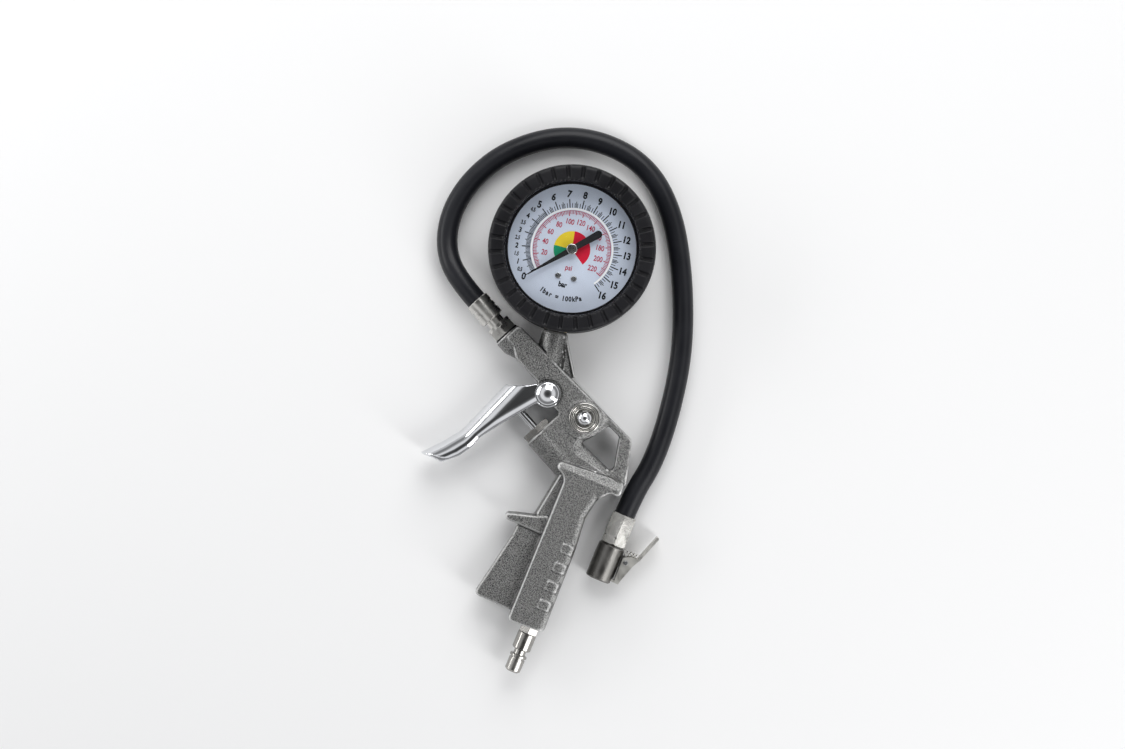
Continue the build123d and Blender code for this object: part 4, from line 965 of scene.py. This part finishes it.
class Film:
    """Collects flat shapes that are printed in one ink."""

    def __init__(self, name, lift):
        self.name = name
        self.height = DIAL_TOP + lift * MM
        self.mesh = bmesh.new()

    def shape(self, outline):
        corners = [
            self.mesh.verts.new((dial_centre.x + v.x * MM, dial_centre.y + v.y * MM, self.height))
            for v in outline
        ]
        self.mesh.faces.new(corners)

    def tick(self, degrees, inner, outer, width):
        side = around(width / 2, degrees + 90)
        self.shape([
            around(inner, degrees) - side, around(outer, degrees) - side,
            around(outer, degrees) + side, around(inner, degrees) + side,
        ])

    def arc(self, start, sweep, inner, outer):
        steps = max(2, math.ceil(abs(sweep) / 2))
        for step in range(steps):
            a = start + sweep * step / steps
            b = start + sweep * (step + 1) / steps
            self.shape([around(inner, a), around(outer, a), around(outer, b), around(inner, b)])

    def words(self, text, place, size, up, squeeze=0.86, weight=0.045):
        """Figures or letters, centred on a place, with their heads towards an angle."""
        font = bpy.data.curves.new(self.name, "FONT")
        font.body = text
        font.size = size * MM
        font.align_x = "CENTER"
        font.align_y = "CENTER"
        font.resolution_u = 3
        font.fill_mode = "FRONT"
        font.offset = weight * size * MM
        carrier = bpy.data.objects.new(self.name, font)
        flat = bpy.data.meshes.new_from_object(carrier)
        turn = Matrix.Rotation(math.radians(up - 90), 4, "Z") @ Matrix.Diagonal((squeeze, 1, 1, 1))
        shift = Matrix.Translation((
            dial_centre.x + place.x * MM, dial_centre.y + place.y * MM, self.height
        ))
        flat.transform(shift @ turn)
        self.mesh.from_mesh(flat)
        bpy.data.objects.remove(carrier)
        bpy.data.meshes.remove(flat)

    def finish(self, material):
        mesh = bpy.data.meshes.new(self.name)
        bmesh.ops.recalc_face_normals(self.mesh, faces=self.mesh.faces)
        for face in self.mesh.faces:
            if face.normal.z < 0:
                face.normal_flip()
        self.mesh.to_mesh(mesh)
        self.mesh.free()
        film = bpy.data.objects.new(self.name, mesh)
        bpy.context.scene.collection.objects.link(film)
        place_piece(film, material, "tool", "dial_white")


# %% Print: the scales
def bar_angle(value):
    return SCALE_ZERO - BAR_PITCH * value


def psi_angle(value):
    return SCALE_ZERO - PSI_PITCH * value


black_film = Film("print_black", 0.05)
for tenth in range(10 * BAR_END + 1):
    if tenth % 10 == 0:
        black_film.tick(bar_angle(tenth / 10), BAR_FOOT, 24.6, 0.52)
    elif tenth % 5 == 0:
        black_film.tick(bar_angle(tenth / 10), BAR_FOOT, 23.5, 0.36)
    elif tenth < 50 or tenth % 2 == 0:
        black_film.tick(bar_angle(tenth / 10), BAR_FOOT, 22.7, 0.34)
for half in range(2 * BAR_END + 1):
    value = half / 2
    if value == int(value):
        size = 3.4 if 0 < value < 5 else 4.6
        black_film.words(str(int(value)), around(27.0, bar_angle(value)), size, FIGURES_UP)
    elif value < 5:
        black_film.words(str(value), around(27.2, bar_angle(value)), 2.7, FIGURES_UP, 0.72)
black_film.words("bar", around(17.8, -57.0), 3.6, FIGURES_UP)
note = "1bar = 100kPa"
NOTE_STEP = 3.9
for place, letter in enumerate(note):
    degrees = -56.0 + (place - (len(note) - 1) / 2) * NOTE_STEP
    if letter != " ":
        black_film.words(letter, around(24.4, degrees), 3.3, degrees + 180)
black_film.finish(black_ink)

white_film = Film("print_white", 0.02)
white_film.arc(SCALE_ZERO, -BAR_PITCH * BAR_END, 19.45, 20.3)
white_film.finish(ring_ink)

red_film = Film("print_red", 0.05)
red_film.arc(SCALE_ZERO, -PSI_PITCH * PSI_END, 18.85, 19.1)
for pound in range(0, PSI_END + 1, 2):
    if pound % 20 == 0:
        red_film.tick(psi_angle(pound), 16.4, PSI_RIM, 0.46)
        if pound:
            red_film.words(str(pound), around(13.6, psi_angle(pound)), 3.7, FIGURES_UP, 0.80, 0.02)
    elif pound % 10 == 0:
        red_film.tick(psi_angle(pound), 16.9, PSI_RIM, 0.38)
    else:
        red_film.tick(psi_angle(pound), 17.3, PSI_RIM, 0.30)
red_film.words("psi", around(9.2, -52.0), 3.6, FIGURES_UP, 0.86, 0.02)
red_film.finish(red_ink)

for name, start, end, material in (
    ("zone_green", SCALE_ZERO, -147.0, green_zone),
    ("zone_yellow", -147.0, -231.0, yellow_zone),
    ("zone_red", -231.0, -367.0, red_zone),
):
    zone_film = Film(name, 0.02)
    zone_film.arc(start, end - start, 2.0, 9.0)
    zone_film.finish(material)
print("print films: 6")

# %% Assign finishes to the solids
finish_of = {
    "gun_body": cast_metal, "trigger_lever": polished_plate, "pivot_pin": polished_plate,
    "pivot_washer": plain_steel, "pivot_clip": plain_steel, "valve_rod": steel_rod,
    "gland_nut": dark_nickel, "rod_seal": seal_rubber, "valve_seat": turned_brass,
    "seat_oring": seal_rubber, "poppet": turned_brass, "poppet_seal": seal_rubber,
    "valve_spring": plain_steel, "bleed_cap": nickel_upright, "bleed_button": nickel_upright,
    "bleed_seal": seal_rubber, "bleed_spring": plain_steel, "hose_fitting": nickel_barrel,
    "fitting_washer": seal_rubber, "hose_ferrule": nickel_barrel, "chuck_ferrule": nickel_handle,
    "chuck_coupler": nickel_handle, "chuck_body": chuck_steel, "chuck_seal": seal_rubber,
    "core_pin": turned_brass, "chuck_lever": lever_steel, "chuck_pin": plain_steel,
    "chuck_spring": plain_steel, "inlet_nipple": dark_nickel, "inlet_washer": seal_rubber,
    "gauge_boot": boot_rubber, "gauge_case": black_enamel, "bezel_ring": black_enamel,
    "lens": clear_plastic, "lens_gasket": seal_rubber, "dial": dial_enamel,
    "dial_posts": turned_brass, "dial_screws": plain_steel, "pointer": pointer_black,
    "pointer_cap": nickel_upright, "pinion_shaft": turned_brass, "sector_gear": turned_brass,
    "hairspring": plain_steel, "movement_plates": turned_brass, "movement_pillars": turned_brass,
    "movement_feet": turned_brass, "link_rod": turned_brass, "bourdon_tube": turned_brass,
    "gauge_stem": turned_brass, "stem_seal": seal_rubber, "hose": hose_rubber,
}
for name, node in nodes.items():
    node.data.materials.clear()
    node.data.materials.append(finish_of[name])
print("solids with a finish:", len(finish_of))

hose_curve.materials.append(hose_rubber)
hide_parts("hose")
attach(rubber_hose, "tool")

# %% Floor, sky and lamps
FLOOR_HALF = 3.0
FLOOR_GAP = 0.05 * MM
SKY_STRENGTH = 0.82


def make_floor():
    material, tree, shader = new_material("pale_floor")
    shader.inputs["Base Color"].default_value = (0.86, 0.86, 0.86, 1)
    shader.inputs["Roughness"].default_value = 0.9
    shader.inputs["Specular IOR Level"].default_value = 0.1
    mesh = bpy.data.meshes.new("floor")
    half = FLOOR_HALF
    corners = [(-half, -half, 0), (half, -half, 0), (half, half, 0), (-half, half, 0)]
    mesh.from_pydata(corners, [], [(0, 1, 2, 3)])
    mesh.materials.append(material)
    floor = bpy.data.objects.new("floor", mesh)
    floor.location.z = -FLOOR_GAP
    bpy.context.scene.collection.objects.link(floor)


make_floor()

world = bpy.data.worlds.new("studio")
world.use_nodes = True
bpy.context.scene.world = world
sky = world.node_tree
direction = add_node(sky, "ShaderNodeTexCoord").outputs["Generated"]
height = add_node(sky, "ShaderNodeSeparateXYZ", {0: direction}).outputs["Z"]
ramp = add_node(sky, "ShaderNodeValToRGB", {0: height})
sky_bands = [
    (0.0, 0.85), (0.18, 0.70), (0.34, 0.25), (0.52, 0.35),
    (0.64, 1.0), (0.84, 1.0), (0.93, 0.16), (1.0, 0.06),
]
while len(ramp.color_ramp.elements) < len(sky_bands):
    ramp.color_ramp.elements.new(0.5)
for stop, (place, level) in zip(ramp.color_ramp.elements, sky_bands):
    stop.position = place
    stop.color = (level, level * 1.005, level * 1.02, 1)
sky.links.new(ramp.outputs[0], sky.nodes["Background"].inputs["Color"])
sky.nodes["Background"].inputs["Strength"].default_value = SKY_STRENGTH


def add_lamp(name, place, target, size, power):
    data = bpy.data.lights.new(name, "AREA")
    data.shape = "RECTANGLE"
    data.size, data.size_y = size
    data.energy = power
    lamp = bpy.data.objects.new(name, data)
    lamp.location = place
    lamp.rotation_euler = (Vector(target) - Vector(place)).to_track_quat("-Z", "Y").to_euler()
    bpy.context.scene.collection.objects.link(lamp)


add_lamp("key_panel", (-0.55, 0.75, 0.75), (0, 0, 0), (0.9, 0.9), 8.0)
add_lamp("side_panel", (0.8, 0.1, 0.6), (0, 0, 0), (0.25, 0.8), 3.5)
add_lamp("low_panel", (-0.75, -0.4, 0.35), (0, 0, 0), (0.8, 0.2), 2.5)
print("lamps: 3, sky bands:", len(sky_bands))
